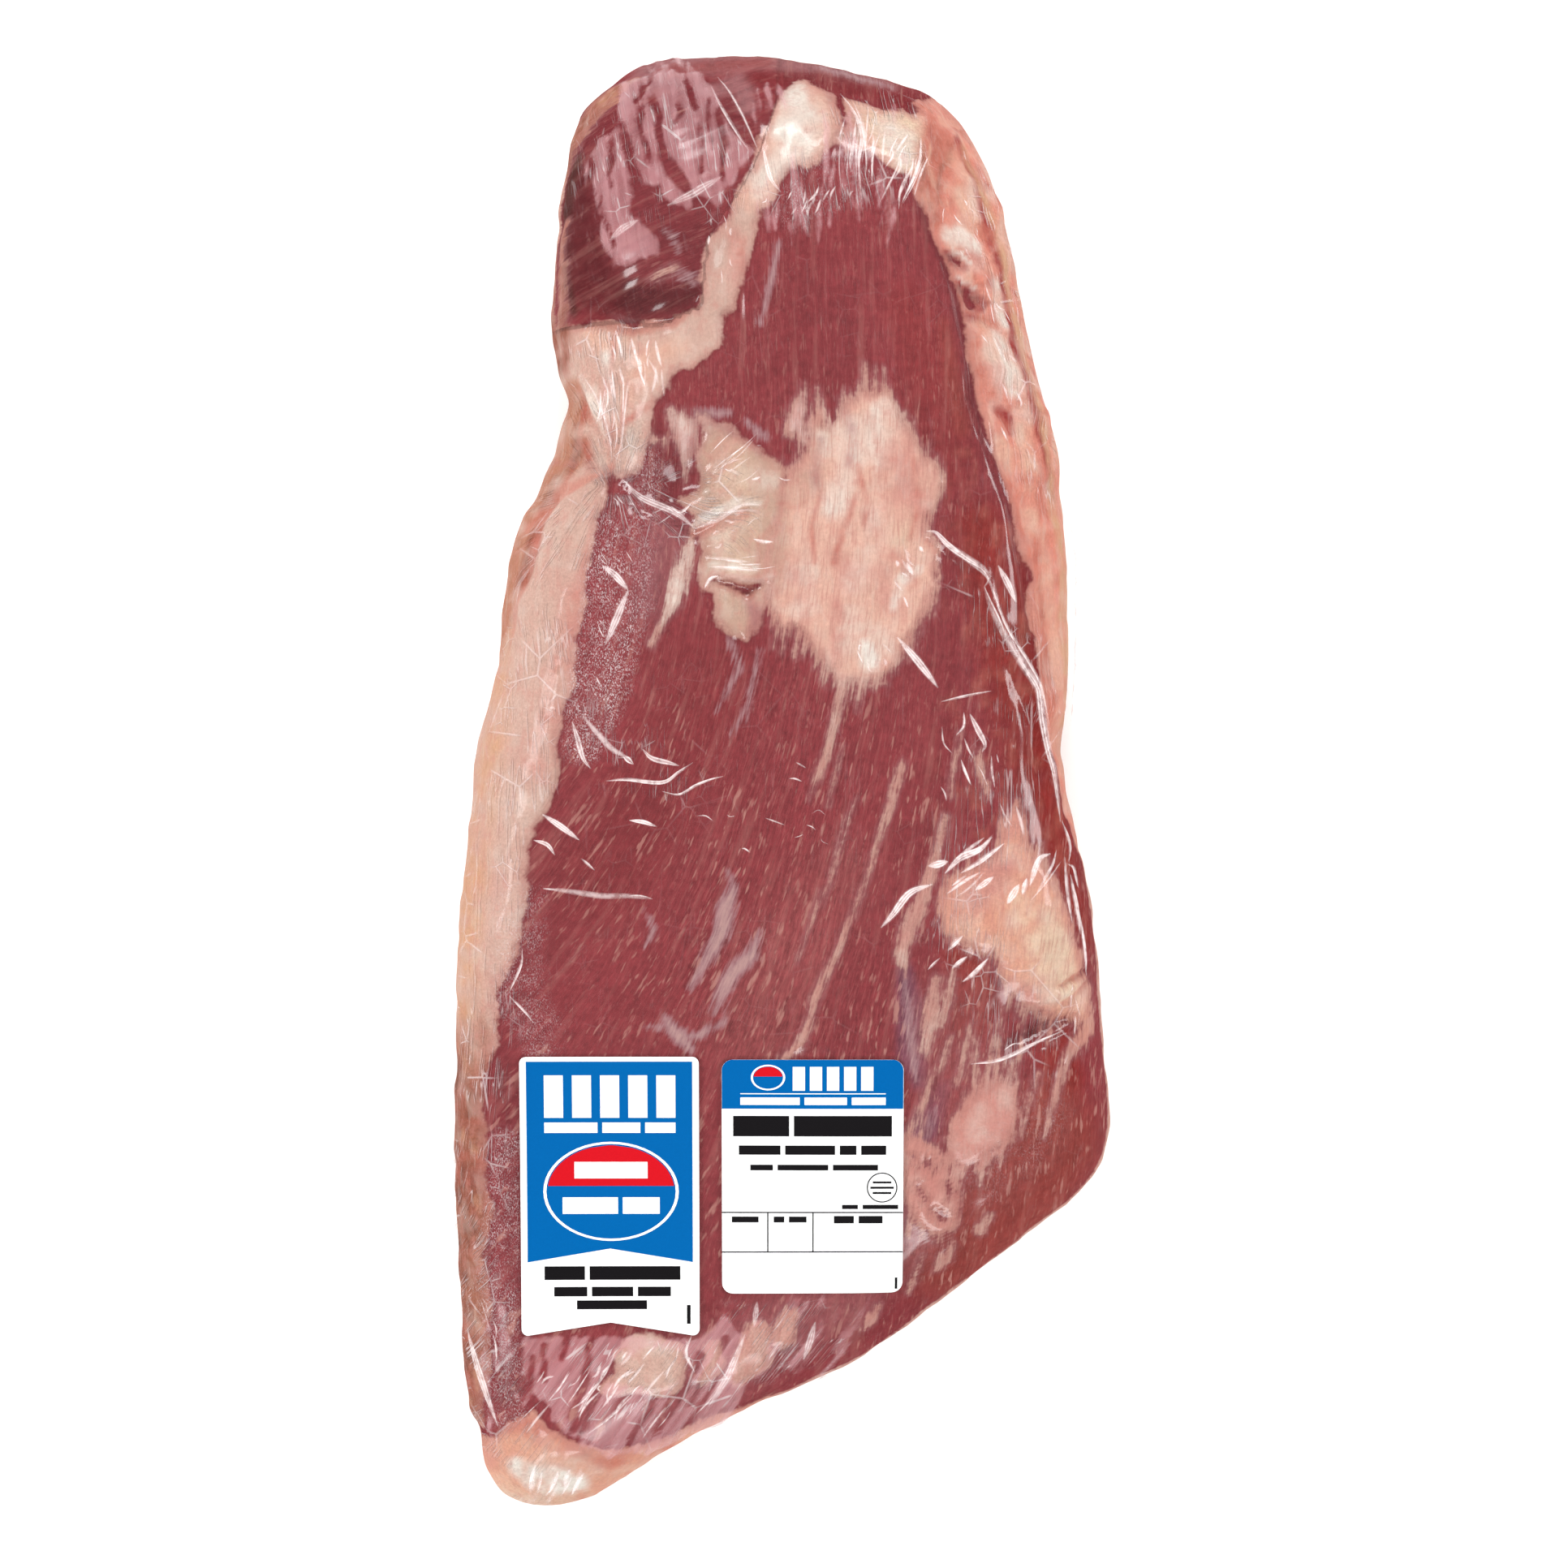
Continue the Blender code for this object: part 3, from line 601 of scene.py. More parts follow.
# Where the edge of the fat is dried to a brown crust: down the left flank, and up on the point.
CRUST = [
    [(-104, -66, 1), (-105, -84, 6), (-104, -125, 7), (-105, -160, 8), (-105, -190, 7),
     (-103, -210, 4)],
    [(-73, 206, 2), (-69, 215, 4), (-62, 223.5, 4.5), (-55, 230.5, 4.5), (-48, 235, 2)],
]

# Tints laid over the lean, in the same way.
LEAN_TINTS = [
    ("wine", 0.7, 8, [(-58, 214, 16), (-30, 216, 16), (-52, 182, 18), (-36, 170, 14)]),
    ("umber", 0.9, 2.2, [(-68, 208, 1), (-70.5, 198, 1.8), (-72, 184, 1.8), (-71.5, 168, 1.6),
                         (-70, 156, 1)]),
    ("maroon", 0.7, 4, [(-50, 160, 3), (-38, 158, 3), (-30, 160, 2)]),
    ("maroon", 0.8, 6, [(-66, 200, 1), (-66, 186, 4), (-65, 174, 6), (-62, 162, 6), (-48, 156, 3)]),
    ("silver", 0.25, 10, [(-38, 84, 2), (-42, 70, 3), (-45, 58, 1)]),
    # Painted shadow: a dark line along the furrow of a fold at the flat's lower right.
    ("maroon", 0.9, 3, [(96, -77, 0.8), (88, -80, 1.2), (79, -84.5, 1.2), (70, -89, 0.6)]),
    ("garnet", 1.4, 3, [(58, -57, 2), (62, -64, 4), (66, -73, 3)]),
    ("garnet", 1, 5, [(57, -56, 3), (62, -66, 5), (62, -78, 5)]),
    ("garnet", 0.9, 6, [(90, -84, 4), (92, -98, 6), (86, -112, 5)]),
    ("garnet", 0.3, 9, [(40, 156, 4), (47, 130, 6), (54, 104, 5)]),
    ("violet", 0.9, 3, [(40, -62, 1.5), (42, -76, 4), (43, -90, 4.4), (45, -99, 2)]),
    ("violet", 0.9, 3, [(53, -101, 1.5), (48, -112, 4), (43, -121, 3)]),
    ("mauve", 0.9, 5, [(-46, 238, 3), (-30, 242, 5), (-10, 243, 5), (20, 238, 4)]),
    ("mauve", 0.9, 3, [(-24, 228, 2), (-14, 232, 3), (-12, 222, 2)]),
    # Painted shadow: a dark line along the furrow where the lean steps down to the side fat.
    ("wine", 0.7, 2.4, [(44, 194, 0.4), (47.5, 180, 1), (55, 165, 1), (57, 154, 1), (60, 140, 1.2),
                        (61, 126, 1.2), (66, 110, 1.2), (73, 92, 1.4), (78, 74, 1.4), (82, 52, 1.2),
                        (84, 32, 1)]),
    ("warm_lean", 0.6, 3, [(52, 150, 1), (55, 132, 2), (58, 116, 2)]),
    ("cherry", 0.8, 3, [(-10, 234, 2), (14, 234, 3), (40, 228, 3), (52, 222, 2)]),
    ("rose_lean", 0.9, 3, [(-40, 236, 1), (-24, 240, 2), (-6, 241, 2)]),
    ("mauve", 0.8, 3, [(10, 240, 1), (24, 238, 2.4), (36, 233, 1.6)]),
    ("garnet", 0.9, 9, [(64, 84, 5), (72, 60, 8), (78, 32, 9), (84, 4, 7), (92, -24, 5),
                        (98, -50, 4)]),
    ("wine", 0.7, 4, [(-44, 116, 3), (-38, 108, 5), (-40, 96, 4)]),
    ("warm_lean", 0.8, 12, [(86, -120, 16), (76, -140, 16), (56, -160, 12)]),
    ("rose_lean", 0.6, 14, [(56, -76, 10), (60, -100, 12)]),
    ("rose_lean", 0.5, 16, [(20, -30, 6), (0, -60, 12), (-10, -84, 10)]),
    ("mauve", 0.35, 9, [(40, -150, 8), (14, -176, 10), (-20, -196, 12), (-56, -208, 12)]),
    ("wine", 0.6, 5, [(-94, -90, 2), (-90, -120, 3), (-88, -170, 4), (-94, -206, 3)]),
    ("cherry", 0.4, 12, [(-20, 40, 10), (-36, 10, 14), (-60, -30, 12)]),
]

# How steeply the fibres lean to the left, as a run over a rise at X = 0, by place along Y.
FIBRE_LEAN = [
    (-250, 0.18), (-200, 0.2), (-120, 0.28), (-60, 0.325), (0, 0.28), (60, 0.12), (130, 0)
]
FIBRE_SPREAD = 85.0

# The block beyond the seam, and the direction of its fibres, which run across instead.
BLOCK = [
    (-90, 152), (-40, 150), (-27, 156), (-25, 178), (-15, 193), (-8, 206), (-3, 222), (0, 260),
    (-90, 260),
]
BLOCK_FIBRE = (0.91, 0.42)

# Every mm along the brisket, and a little beyond its tips.
EACH_MM = np.arange(-252.0, 252.0)


def fibre_lines(x, y):
    """Coordinates that follow the fibres: across them, and along them.

    The lean falls off as exp(-x / spread), so a fibre keeps the value
    spread * log(exp(x / spread) + sum of the lean from y up / spread).
    """
    lean = np.interp(EACH_MM, *np.array(FIBRE_LEAN).T)
    leaned = np.interp(y, EACH_MM, np.cumsum(lean[::-1])[::-1])
    return FIBRE_SPREAD * np.log(np.exp(x / FIBRE_SPREAD) + leaned / FIBRE_SPREAD), y


def fibre_run(x, y):
    """The direction of a fibre, upwards: its run over its rise is the lean * exp(-x / spread)."""
    lean = np.interp(y, *np.array(FIBRE_LEAN).T) * np.exp(-x / FIBRE_SPREAD)
    return np.array([lean, 1.0]) / np.hypot(lean, 1.0)


def tufts(outline, pitch, reach, seed):
    """Tapered strokes that grow out of a patch's edge along the fibres, one about every pitch."""
    random = np.random.default_rng(seed)
    corners = np.array(outline, float)
    ahead = np.roll(corners, -1, axis=0)
    turning = np.sign(np.sum(corners[:, 0] * ahead[:, 1] - ahead[:, 0] * corners[:, 1]))
    made = []
    for start, end in zip(corners, ahead):
        run = end - start
        length = np.hypot(*run)
        out = turning * np.array([run[1], -run[0]]) / length
        count = max(round(length / pitch), 1)
        for share in (np.arange(count) + 0.5) / count:
            root = start + run * (share + random.uniform(-0.3, 0.3) * pitch / length)
            fibre = fibre_run(*root)
            facing = fibre @ out
            grown = reach * (0.15 + abs(facing)) * random.uniform(0.3, 1.2) * np.sign(facing)
            tip, base = root + fibre * grown, root - out * 1.5
            made.append([(*base, random.uniform(1.3, 2.5)), (*tip, random.uniform(0.1, 0.5))])
    return made


# How far down the underside each place is: 0 at the rim, 1 from 14 mm below it.
DEPTH = ease(RIM - Z, 0, 14) * ~LEAN_SIDE

# Coordinates across and along the fibres, turned inside the block.
block_inside = patch(X, Y, BLOCK)
ACROSS, ALONG = fibre_lines(X, Y)
ACROSS = np.where(block_inside > 0, BLOCK_FIBRE[0] * Y - BLOCK_FIBRE[1] * X, ACROSS)
ALONG = np.where(block_inside > 0, BLOCK_FIBRE[0] * X + BLOCK_FIBRE[1] * Y, ALONG)

# How far inside each kind of fat every place is.
fat_inside = {name: patch(X, Y, outline) for name, (_, outline) in FAT_PATCHES.items()}
streaks_inside = strokes(X, Y, FAT_STREAKS) - STREAK_TRIM
tufts_inside = strokes(X, Y, [
    tuft for seed, (name, pitch, reach) in enumerate(TUFTED, TUFT_SEED)
    for tuft in tufts(FAT_PATCHES[name][1], pitch, reach, seed)
]) - STREAK_TRIM
silver_inside = strokes(X, Y, SILVER_STREAKS)


def labels_inside():
    """How far inside the nearer label's outline each place is."""
    depths = []
    for node in ("grade_label", "price_label"):
        low, high = (np.array(corner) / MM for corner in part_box(node))
        depths.append(np.minimum.reduce([X - low[0], high[0] - X, Y - low[1], high[1] - Y]))
    return np.maximum(*depths)


# How far an edge of fat is frayed along the fibres: the outer layers end smoothly.
FRAYED_FAT = ["kernel", "flat_fat", "pale_wedge", "mottled_fat"]
smooth_inside = np.max([
    inside for name, inside in fat_inside.items() if name not in FRAYED_FAT
], axis=0)
frayed_inside = np.max([
    streaks_inside, tufts_inside, *(fat_inside[name] for name in FRAYED_FAT)
], axis=0)
FRAY = ease(frayed_inside - smooth_inside, -4, 3)

# How much relief there is: none under the labels, and all of it from 7 mm round them.
CALM = np.where(LEAN_SIDE, 1 - ease(labels_inside(), -7, 0), 1.0)


def fat_depth():
    """How deep in fat each place is, in mm, negative in the lean.

    Below a wavy line round the flank, a little above the rim, all is the fat cap.
    """
    wander = 1.6 * cloud(X, Y, 9, 21) + 0.9 * cloud(ACROSS, ALONG / 6, 3.2, 22)
    fat = np.maximum(np.max(list(fat_inside.values()), axis=0) + wander, streaks_inside)
    fat = np.maximum(fat, tufts_inside)
    fat = np.minimum(fat, -strokes(X, Y, LEAN_GAPS))
    line = 1.2 + 0.14 * cloud(X, Y, 22, 5) + 0.06 * cloud(X, Y, 8, 6) - 0.5 * ease(Y, 205, 225)
    below = line * RIM - Z
    return np.where(LEAN_SIDE, np.maximum(fat, below), np.maximum(below, 1.5))


def painted(colour, tints, uneven=1.0):
    """A field of colour with a table of tints laid over it, as strongly as uneven at each place."""
    for tone, strength, soft, points in tints:
        inside = ease(stroke(X, Y, points), -soft, soft * 0.4)
        colour = tinted(colour, (tone, strength * uneven * inside))
    return colour


def lean_colours():
    """The lean under its tints, mottled along the right edge, and blotched."""
    colour = painted(np.broadcast_to(TONES["lean"], (*X.shape, 3)), LEAN_TINTS)
    lit = ease(X, 42, 66) * ease(Y, -70, -10) * ease(-Y, -150, -100)
    colour = tinted(
        colour,
        ("sienna", 0.42 * lit * ease(cloud(X, Y / 1.5, 3.2, 34), 0.1, 0.8)),
        ("cherry", 0.6 * lit * ease(-cloud(X, Y / 1.3, 4.4, 35), 0.2, 0.9)),
    )
    blotches = cloud(ACROSS, ALONG / 2.5, 13, 31)
    blotches = blotches + 0.7 * cloud(X, Y, 6, 32) + 0.4 * cloud(X, Y, 3, 33)
    return colour * (1 + 0.07 * blotches[..., None])


def fat_colours():
    """Each patch's tone, clouds, the side's knobs, tints, crust, painted shade and light on folds,
    the cap below.
    """
    colour = tinted(
        np.broadcast_to(TONES["shell"], (*X.shape, 3)),
        *((tone, ease(fat_inside[name], -4, 2)) for name, (tone, _) in FAT_PATCHES.items()),
    )
    veil = cloud(X, Y, 13, 43) * 0.6 + cloud(X, Y, 6, 44) * 0.45
    plain = 1 - 0.6 * ease(np.maximum(fat_inside["left_band"], fat_inside["seam"]), -3, 3)
    knots = cloud(X, Y / 1.6, 6.5, 49) + 0.7 * cloud(X, Y, 3, 50)
    side = ease(fat_inside["side_fat"], -2, 3) * LEAN_SIDE
    parted = ease(np.abs(cloud(X, Y / 1.6, 4.5, 36)), 0.16, 0.0)
    parted = parted * ease(cloud(X, Y, 12, 37), -0.4, 0.3)
    colour = tinted(
        colour,
        ("fleck", ease(np.maximum(streaks_inside, tufts_inside), -1.5, 1.5) * 0.6),
        ("blush", 0.5 * plain * ease(veil, 0.1, 0.7)),
        ("cream", 0.45 * plain * ease(-veil, 0.1, 0.7)),
        ("coral", 0.8 * side * ease(knots, 0.15, 0.8)),
        ("apricot", 0.5 * side * ease(-knots, 0.1, 0.7)),
        ("sienna", 0.8 * side * parted * ease(Y, 90, 150)),
        ("rose", 0.5 * parted * ease(fat_inside["flat_fat"], 0, 4)),
    )
    uneven = 0.8 + 0.5 * cloud(X, Y, 6, 41) + 0.4 * cloud(X, Y, 2.6, 42)
    colour = painted(colour, FAT_TINTS, uneven)
    crust = ease(strokes(X, Y, CRUST), -5, 1) * LEAN_SIDE
    crust = crust * np.where(Y < 0, ease(14 * cloud(Y, Z, 12, 38) - Y, 58, 108), 1.0)
    grit = cloud(X, Y / 3.2, 1.7, 40) + 0.7 * cloud(X, Y / 2, 4.5, 39)
    colour = tinted(
        colour,
        ("tan", crust),
        ("brown", crust * ease(knots, -1.0, 0.1)),
        ("brown", 0.7 * crust),
        ("sienna", 0.6 * crust * ease(knots, 0.2, 0.9)),
        ("umber", 0.4 * crust * ease(grit, 0.2, 1.0)),
        ("honey", 0.45 * crust * ease(-grit, 0.4, 1.0)),
        # Painted shade in coral in the furrows of the folds, and a painted highlight in ivory on
        # their crests.
        ("coral", 0.55 * LEAN_SIDE * ease(-FOLDED, 0.2, 1.2)),
        ("painted_highlight", 0.35 * LEAN_SIDE * ease(FOLDED, 0.4, 1.2)),
    )
    stains = cloud(X, Y, 12, 46) + 0.5 * cloud(X, Y, 5, 47)
    under = tinted(
        np.broadcast_to(TONES["butter"], colour.shape),
        ("shell", ease(cloud(X, Y, 19, 45), -0.5, 0.5)),
        ("tan", 0.4 * ease(stains, 0.5, 1.1)),
        ("blush", 0.6 * ease(cloud(X, Y, 24, 48), 0.3, 0.9)),
    )
    return colour + (under - colour) * DEPTH[..., None]


# ---- how the surface rises and falls

# Folds of the meat under the bag: rise, half width at each place. A negative rise is a furrow.
FOLDS = [
    (1, [(-56.5, 134, 1.5), (-57, 119, 2), (-56.5, 106.5, 1)]),
    (0.9, [(-51, 132, 1.5), (-52.5, 119, 2), (-55.5, 105, 1)]),
    (-0.7, [(-53.5, 134, 1.2), (-55, 119, 1.4), (-56, 106, 1)]),
    (-0.9, [(-60.5, 134, 1.2), (-60, 119, 1.6), (-57.5, 106, 1)]),
    (-1, [(-70, 132, 1), (-63.5, 120, 1.6), (-57, 105, 1.2)]),
    (1.2, [(-66.5, 135, 1.4), (-61, 122, 1.8), (-57.5, 106, 1)]),
    (-1.4, [(-57, 104, 1.2), (-66, 99, 1.8), (-76, 94, 2), (-84, 84, 1.5)]),
    (1.3, [(-53, 100, 1.6), (-47, 94, 1.8), (-36, 89, 1.6), (-29, 83.5, 1)]),
    (-1.2, [(-53, 97, 1.6), (-46, 91, 1.8), (-36, 86, 1.6), (-30, 81, 1)]),
    (1, [(-29, 83.5, 1.2), (-21.5, 86.5, 1.4), (-14, 91, 1.2), (-7.5, 91, 0.8)]),
    (-0.9, [(-29, 80, 1.2), (-21.5, 83, 1.4), (-13, 87, 1.2)]),
    (-2.2, [(-23, 66, 0.8), (-17, 64.6, 1.4), (-11.5, 62.8, 1.7), (-8, 65, 0.8)]),
    (1.2, [(-26, 64, 0.8), (-22.5, 69, 1.2), (-17, 67.5, 1.2), (-8.5, 66.5, 1.2),
           (-2.5, 68.5, 0.8)]),
    (1, [(-7.5, 90.5, 0.8), (-14, 92.5, 1), (-21.5, 88.5, 1.2), (-29.5, 84.5, 1.2),
           (-34.5, 87.5, 1.2)]),
    (-0.9, [(-10, 88, 0.8), (-21.5, 85.5, 1.2), (-29.5, 81.5, 1.2), (-36, 85, 1.2)]),
    (0.8, [(-14, 92.5, 0.6), (-20.5, 94.5, 0.8), (-26, 96, 0.6)]),
    (0.6, [(-26, 75, 0.8), (-18, 74, 1), (-10, 72.5, 0.8)]),
    (0.8, [(-29, 99, 0.6), (-22, 104, 1), (-15, 112, 0.6)]),
    (-0.7, [(-28, 96.5, 0.6), (-20.5, 101.5, 1), (-13, 109, 0.6)]),
    (0.7, [(-26.5, 95, 0.5), (-18, 99, 0.9), (-11, 106, 0.5)]),
    (-0.6, [(-26, 108, 0.5), (-23, 111, 0.8), (-19, 115, 0.5)]),
    (-1, [(-67, 108, 1), (-79, 86, 1.4), (-82, 74, 1.4), (-87, 60, 1.2), (-91, 43, 0.8)]),
    (-1.4, [(44, 194, 0.8), (47.5, 181, 1.4), (53, 170.5, 1.6), (57, 158, 1.6), (60, 142, 1.6),
            (61.5, 128, 1.6), (66, 113, 1.6), (74, 92, 1.6), (79, 72, 1.6), (83, 50, 1.4)]),
    (-1.2, [(57, 172, 1), (59, 170, 1)]),
    (-1.8, [(59, 161, 1.2), (62, 158, 2.4), (66, 158, 1.2)]),
    (1.6, [(54, 179, 2.4), (60, 179, 3), (64, 175, 2)]),
    (1, [(63, 200, 2.5), (65, 188, 2.5)]),
    (-1, [(56, 213, 1), (56, 205, 1.2), (52.5, 196, 1.2), (52.5, 188, 0.8)]),
    (1.2, [(66, 146, 2.5), (70, 134, 3), (72, 126, 2)]),
    (-1, [(71, 123, 1), (76, 117, 1.6)]),
    (-1.6, [(101, -62, 1), (96, -64.5, 1.2), (91, -67, 0.8)]),
    (1, [(100, -65, 1), (94, -69, 1.6), (84, -72, 1.2)]),
    (-1.2, [(97, -76.5, 1), (88, -80, 1.4), (79, -84.5, 1.4), (70, -89, 0.8)]),
    (1.2, [(95, -80, 1), (87, -83.5, 1.4), (78, -88, 1)]),
    (-0.8, [(-46, 246, 1), (-44, 238, 1.4), (-45, 230, 0.8)]),
    (0.8, [(-38, 246, 1), (-36, 238, 1.6), (-37, 230, 1)]),
    (-0.8, [(-24, 246, 1), (-24, 238, 1.4), (-21, 230, 0.8)]),
    (-0.8, [(-62, 92, 1.2), (-65, 75, 1.4), (-68, 56, 1.2), (-71, 38, 1)]),
    (-0.8, [(-69, 62, 1), (-74, 40, 1.4), (-80, 15, 1)]),
    (-1.8, [(-68, 152, 1.6), (-50, 148.5, 2), (-36, 150.5, 1.8), (-28, 157, 1.2)]),
    (1.4, [(46.5, 82.5, 1.4), (53.5, 78, 1.8), (65, 70.5, 2), (67.5, 58, 2), (78.5, 39, 2),
           (85.5, 20, 2), (89.5, 4, 1.8), (91.5, -12.5, 1)]),
    (-1.1, [(47, 79, 1.4), (56, 71, 1.8), (63, 62, 1.8), (74, 38, 2), (82, 20, 2), (87, 0, 1.6)]),
    (-1.2, [(92, -73, 1), (98, -68, 1.4), (103, -65, 1)]),
    (-1, [(76, -91, 1), (86, -86, 1.5), (96, -82, 1)]),
    (0.8, [(-88, -235, 1), (-84, -240, 1)]),
]


# The swelling of the block beyond the seam.
SWELL = [(-52, 206, 27), (-34, 200, 28), (-50, 176, 24)]

# Where along Y the bag pulls the left edge in, over what length, and how deep.
PULL_PLACE, PULL_LENGTH, PULL_DEPTH = 127, 7, 2.0
# The hollow along the right edge: its left, foot, top and depth, and how far the bag sags there.
HOLLOW_LEFT, HOLLOW_FOOT, HOLLOW_TOP = 84, 0, 112
HOLLOW_DEPTH, SAG = 2.6, 1.2


def folds():
    """Each fold rises as cos^2 across its path."""
    total = np.zeros(X.shape)
    for rise, points in FOLDS:
        inside = stroke(X, Y, [(x, y, 2 * width) for x, y, width in points])
        widest = max(2 * width for _, _, width in points)
        total += rise * np.sin(np.pi / 2 * np.clip(inside / widest, 0, 1)) ** 2
    return total


FOLDED = folds()


def meat_lift(fat):
    """How far the meat stands out from the plain skin, in mm."""
    fatness = ease(fat, -1.5, 3)
    side = ease(fat_inside["side_fat"], -1, 4) * LEAN_SIDE
    broad = 0.9 * cloud(X, Y, 38, 51) + 0.4 * cloud(X, Y, 17, 52)
    lumps = 0.55 * cloud(X, Y, 9, 53) + 0.3 * cloud(X, Y, 4.2, 54)
    strands = 0.22 * cloud(ACROSS, ALONG / 9, 1.9, 55) + 0.25 * cloud(ACROSS, ALONG / 7, 4.6, 56)
    lift = broad + fatness * (0.9 + lumps) + (1 - fatness) * strands
    lift += side * (1.3 * cloud(X, Y, 11, 57) + 0.8 * cloud(X, Y, 5.5, 58) - 2.0)
    lift += FOLDED + 1.0 * ease(fat_inside["left_band"], -1, 5) * LEAN_SIDE
    lift += 1.0 * ease(stroke(X, Y, SWELL), -3, 3) * LEAN_SIDE
    lift *= CALM * np.where(LEAN_SIDE, 1, 1 - 0.7 * DEPTH)
    lift -= PULL_DEPTH * np.exp(-(((Y - PULL_PLACE) / PULL_LENGTH) ** 2)) * ease(-X, 62, 70)
    ends = ease(Y, HOLLOW_FOOT, HOLLOW_FOOT + 20) * ease(-Y, -HOLLOW_TOP, 16 - HOLLOW_TOP)
    lift -= HOLLOW_DEPTH * ends * ease(X, HOLLOW_LEFT, HOLLOW_LEFT + 7)
    return lift - FILM_GAP


# ---- the bag's haze, a painted reflection, and its creases

# Where the bag stands off the meat and looks milky with a painted reflection of the lights:
# outlines, and narrower strokes.
HAZE_PANELS = [
    [(-53, 231.5), (-46, 234.5), (-38.5, 235.5), (-28, 236), (-23, 230), (-20, 219.5),
     (-16.5, 213.5), (-11.5, 208), (-9.5, 206.5), (-14.5, 200.5), (-16.5, 196.5), (-19.5, 194),
     (-20, 190), (-23, 185.5), (-25, 190), (-29.5, 191), (-32, 185.5), (-36.5, 189), (-40, 190),
     (-40.5, 194), (-48, 194), (-49, 185.5), (-45, 181.5), (-41.5, 176), (-40.5, 172.5), (-48, 170),
     (-54.5, 168), (-57, 173.5), (-60, 178), (-58.5, 185.5), (-62, 194), (-64.5, 200.5),
     (-63.5, 207), (-61, 212.5), (-54.5, 215.5), (-53.5, 222)],
    [(-87.5, -185), (-28.5, -186), (-20, -178), (-12, -186), (-15, -213), (-30, -220),
     (-47, -225.5), (-61.5, -226), (-73.5, -219), (-80.5, -209), (-88.5, -198)],
]
HAZE_STRIPS = [
    [(4, -173, 1.5), (-2, -190, 3), (-8, -202, 1.5)],
    [(14, -173, 1.5), (10, -188, 2.6), (4, -198, 1)],
    [(28, -172, 1), (22, -184, 2), (17, -191, 1)],
    [(-95, -175, 1), (-93, -190, 2), (-91, -204, 1)],
]
# Bunches of narrow pleats of painted reflection: middle, spread, count, each one's run, and the
# widest half width.
VEILS = [
    ((22, 218), (7, 6), 14, (-1, -26), 1.4),
    ((39, 204), (5, 5), 9, (-6, -22), 1.2),
    ((8, 200), (7, 6), 10, (-2, -20), 1.1),
    ((-6, 226), (4, 5), 7, (1, -10), 1.3),
    ((-4, 190), (3, 8), 6, (-1, -14), 1),
    ((-36, 240), (12, 2), 9, (2, -9), 1.3),
    ((10, -180), (16, 5), 14, (-9, -13), 1.1),
    ((-60, -190), (20, 6), 12, (-6, -12), 1),
    ((-98, -190), (2, 16), 8, (2, -12), 0.8),
]
VEIL_SEED = 64
# The lines where it is sucked down again.
CONTACT_LINES = [
    [(-20, 230, 0.8), (-16.5, 222, 2.1), (-12.5, 215.5, 1.9), (-9.5, 208, 0.6)],
    [(-21.5, 219.5, 0.7), (-20, 211, 1.1), (-20.5, 205, 1), (-20, 197.5, 0.9)],
    [(-42.5, 224, 0.7), (-41, 217.5, 1.3), (-40, 210, 1.2), (-38.5, 203, 1.4), (-36.5, 198.5, 2),
     (-32, 194, 1.6), (-30, 191.5, 0.8)],
    [(-46, 221, 0.5), (-47.5, 216.5, 0.8), (-46, 211, 0.8), (-43.5, 205, 0.7), (-42.5, 201.5, 0.4)],
    [(-52.5, 216.5, 0.8), (-51.5, 211, 1.5), (-50, 205, 1.7), (-48, 198.5, 1.7), (-47, 193, 1.8),
     (-45, 185.5, 1)],
    [(-56.5, 211, 0.5), (-56, 205, 0.8), (-56.5, 200.5, 0.8), (-55, 195.5, 0.4)],
    [(-63, 208, 0.4), (-62, 203, 0.8), (-62, 196.5, 0.7), (-60.5, 193, 0.4)],
    [(-35, 221, 0.4), (-33.5, 218.5, 0.6), (-35, 214.5, 0.3)],
    [(-64.5, -187.5, 1), (-66.5, -199.5, 1.3), (-71, -212.5, 1.2)],
    [(-54, -190, 1), (-64, -206, 1.1), (-70, -217, 0.8)],
    [(-48, -200, 0.7), (-58, -213, 0.9), (-64.5, -220, 0.6)],
    [(-38, -198, 1), (-46, -211, 1.1), (-52.5, -220, 0.9)],
    [(-28, -192, 1.2), (-34, -205, 1.4), (-42, -218, 1)],
    [(-20, -186, 1.1), (-26, -198, 1.4), (-31, -209, 0.9)],
    [(-80.5, -188, 0.8), (-80, -200, 0.8)],
    [(-61, -205, 0.4), (-66, -214, 0.8), (-70, -222, 0.5)],
    [(-43, -206, 0.4), (-49, -216, 0.8), (-54, -224, 0.5)],
    [(-33, -196, 0.4), (-38, -208, 0.8), (-44, -220, 0.5)],
    [(-22, -198, 0.4), (-27, -208, 0.7), (-33, -218, 0.5)],
    [(-84, -192, 0.3), (-85, -202, 0.6), (-83, -210, 0.4)],
    [(-28, 214, 0.3), (-27.5, 206, 0.6), (-27, 199, 0.4)],
    [(-24.5, 224, 0.3), (-25, 214, 0.5), (-24, 206, 0.4)],
    [(-32, 232, 0.4), (-31, 226, 0.9), (-29, 220, 0.5)],
    [(-44, 236, 0.4), (-45, 229, 0.8), (-47, 223, 0.5)],
    [(-59, 192, 0.3), (-58, 184, 0.7), (-55, 176, 0.5)],
    [(-72.5, -184, 1), (-74, -193, 0.7)],
]
# Where the bag clings to pale fat inside a panel of painted reflection.
CLEARED = [
    [(-57, -199, 3), (-46, -196, 7), (-38, -195, 6)],
    [(-9, -185, 4), (-11, -192.5, 6), (-15, -199, 3)],
    [(2, -179, 3), (0, -186, 3.5)],
]
# Where it bridges the hollow along the right edge.
TENT = [(97, 100, 0.5), (100, 70, 1.4), (100, 30, 1.4), (97, 4, 0.5)]

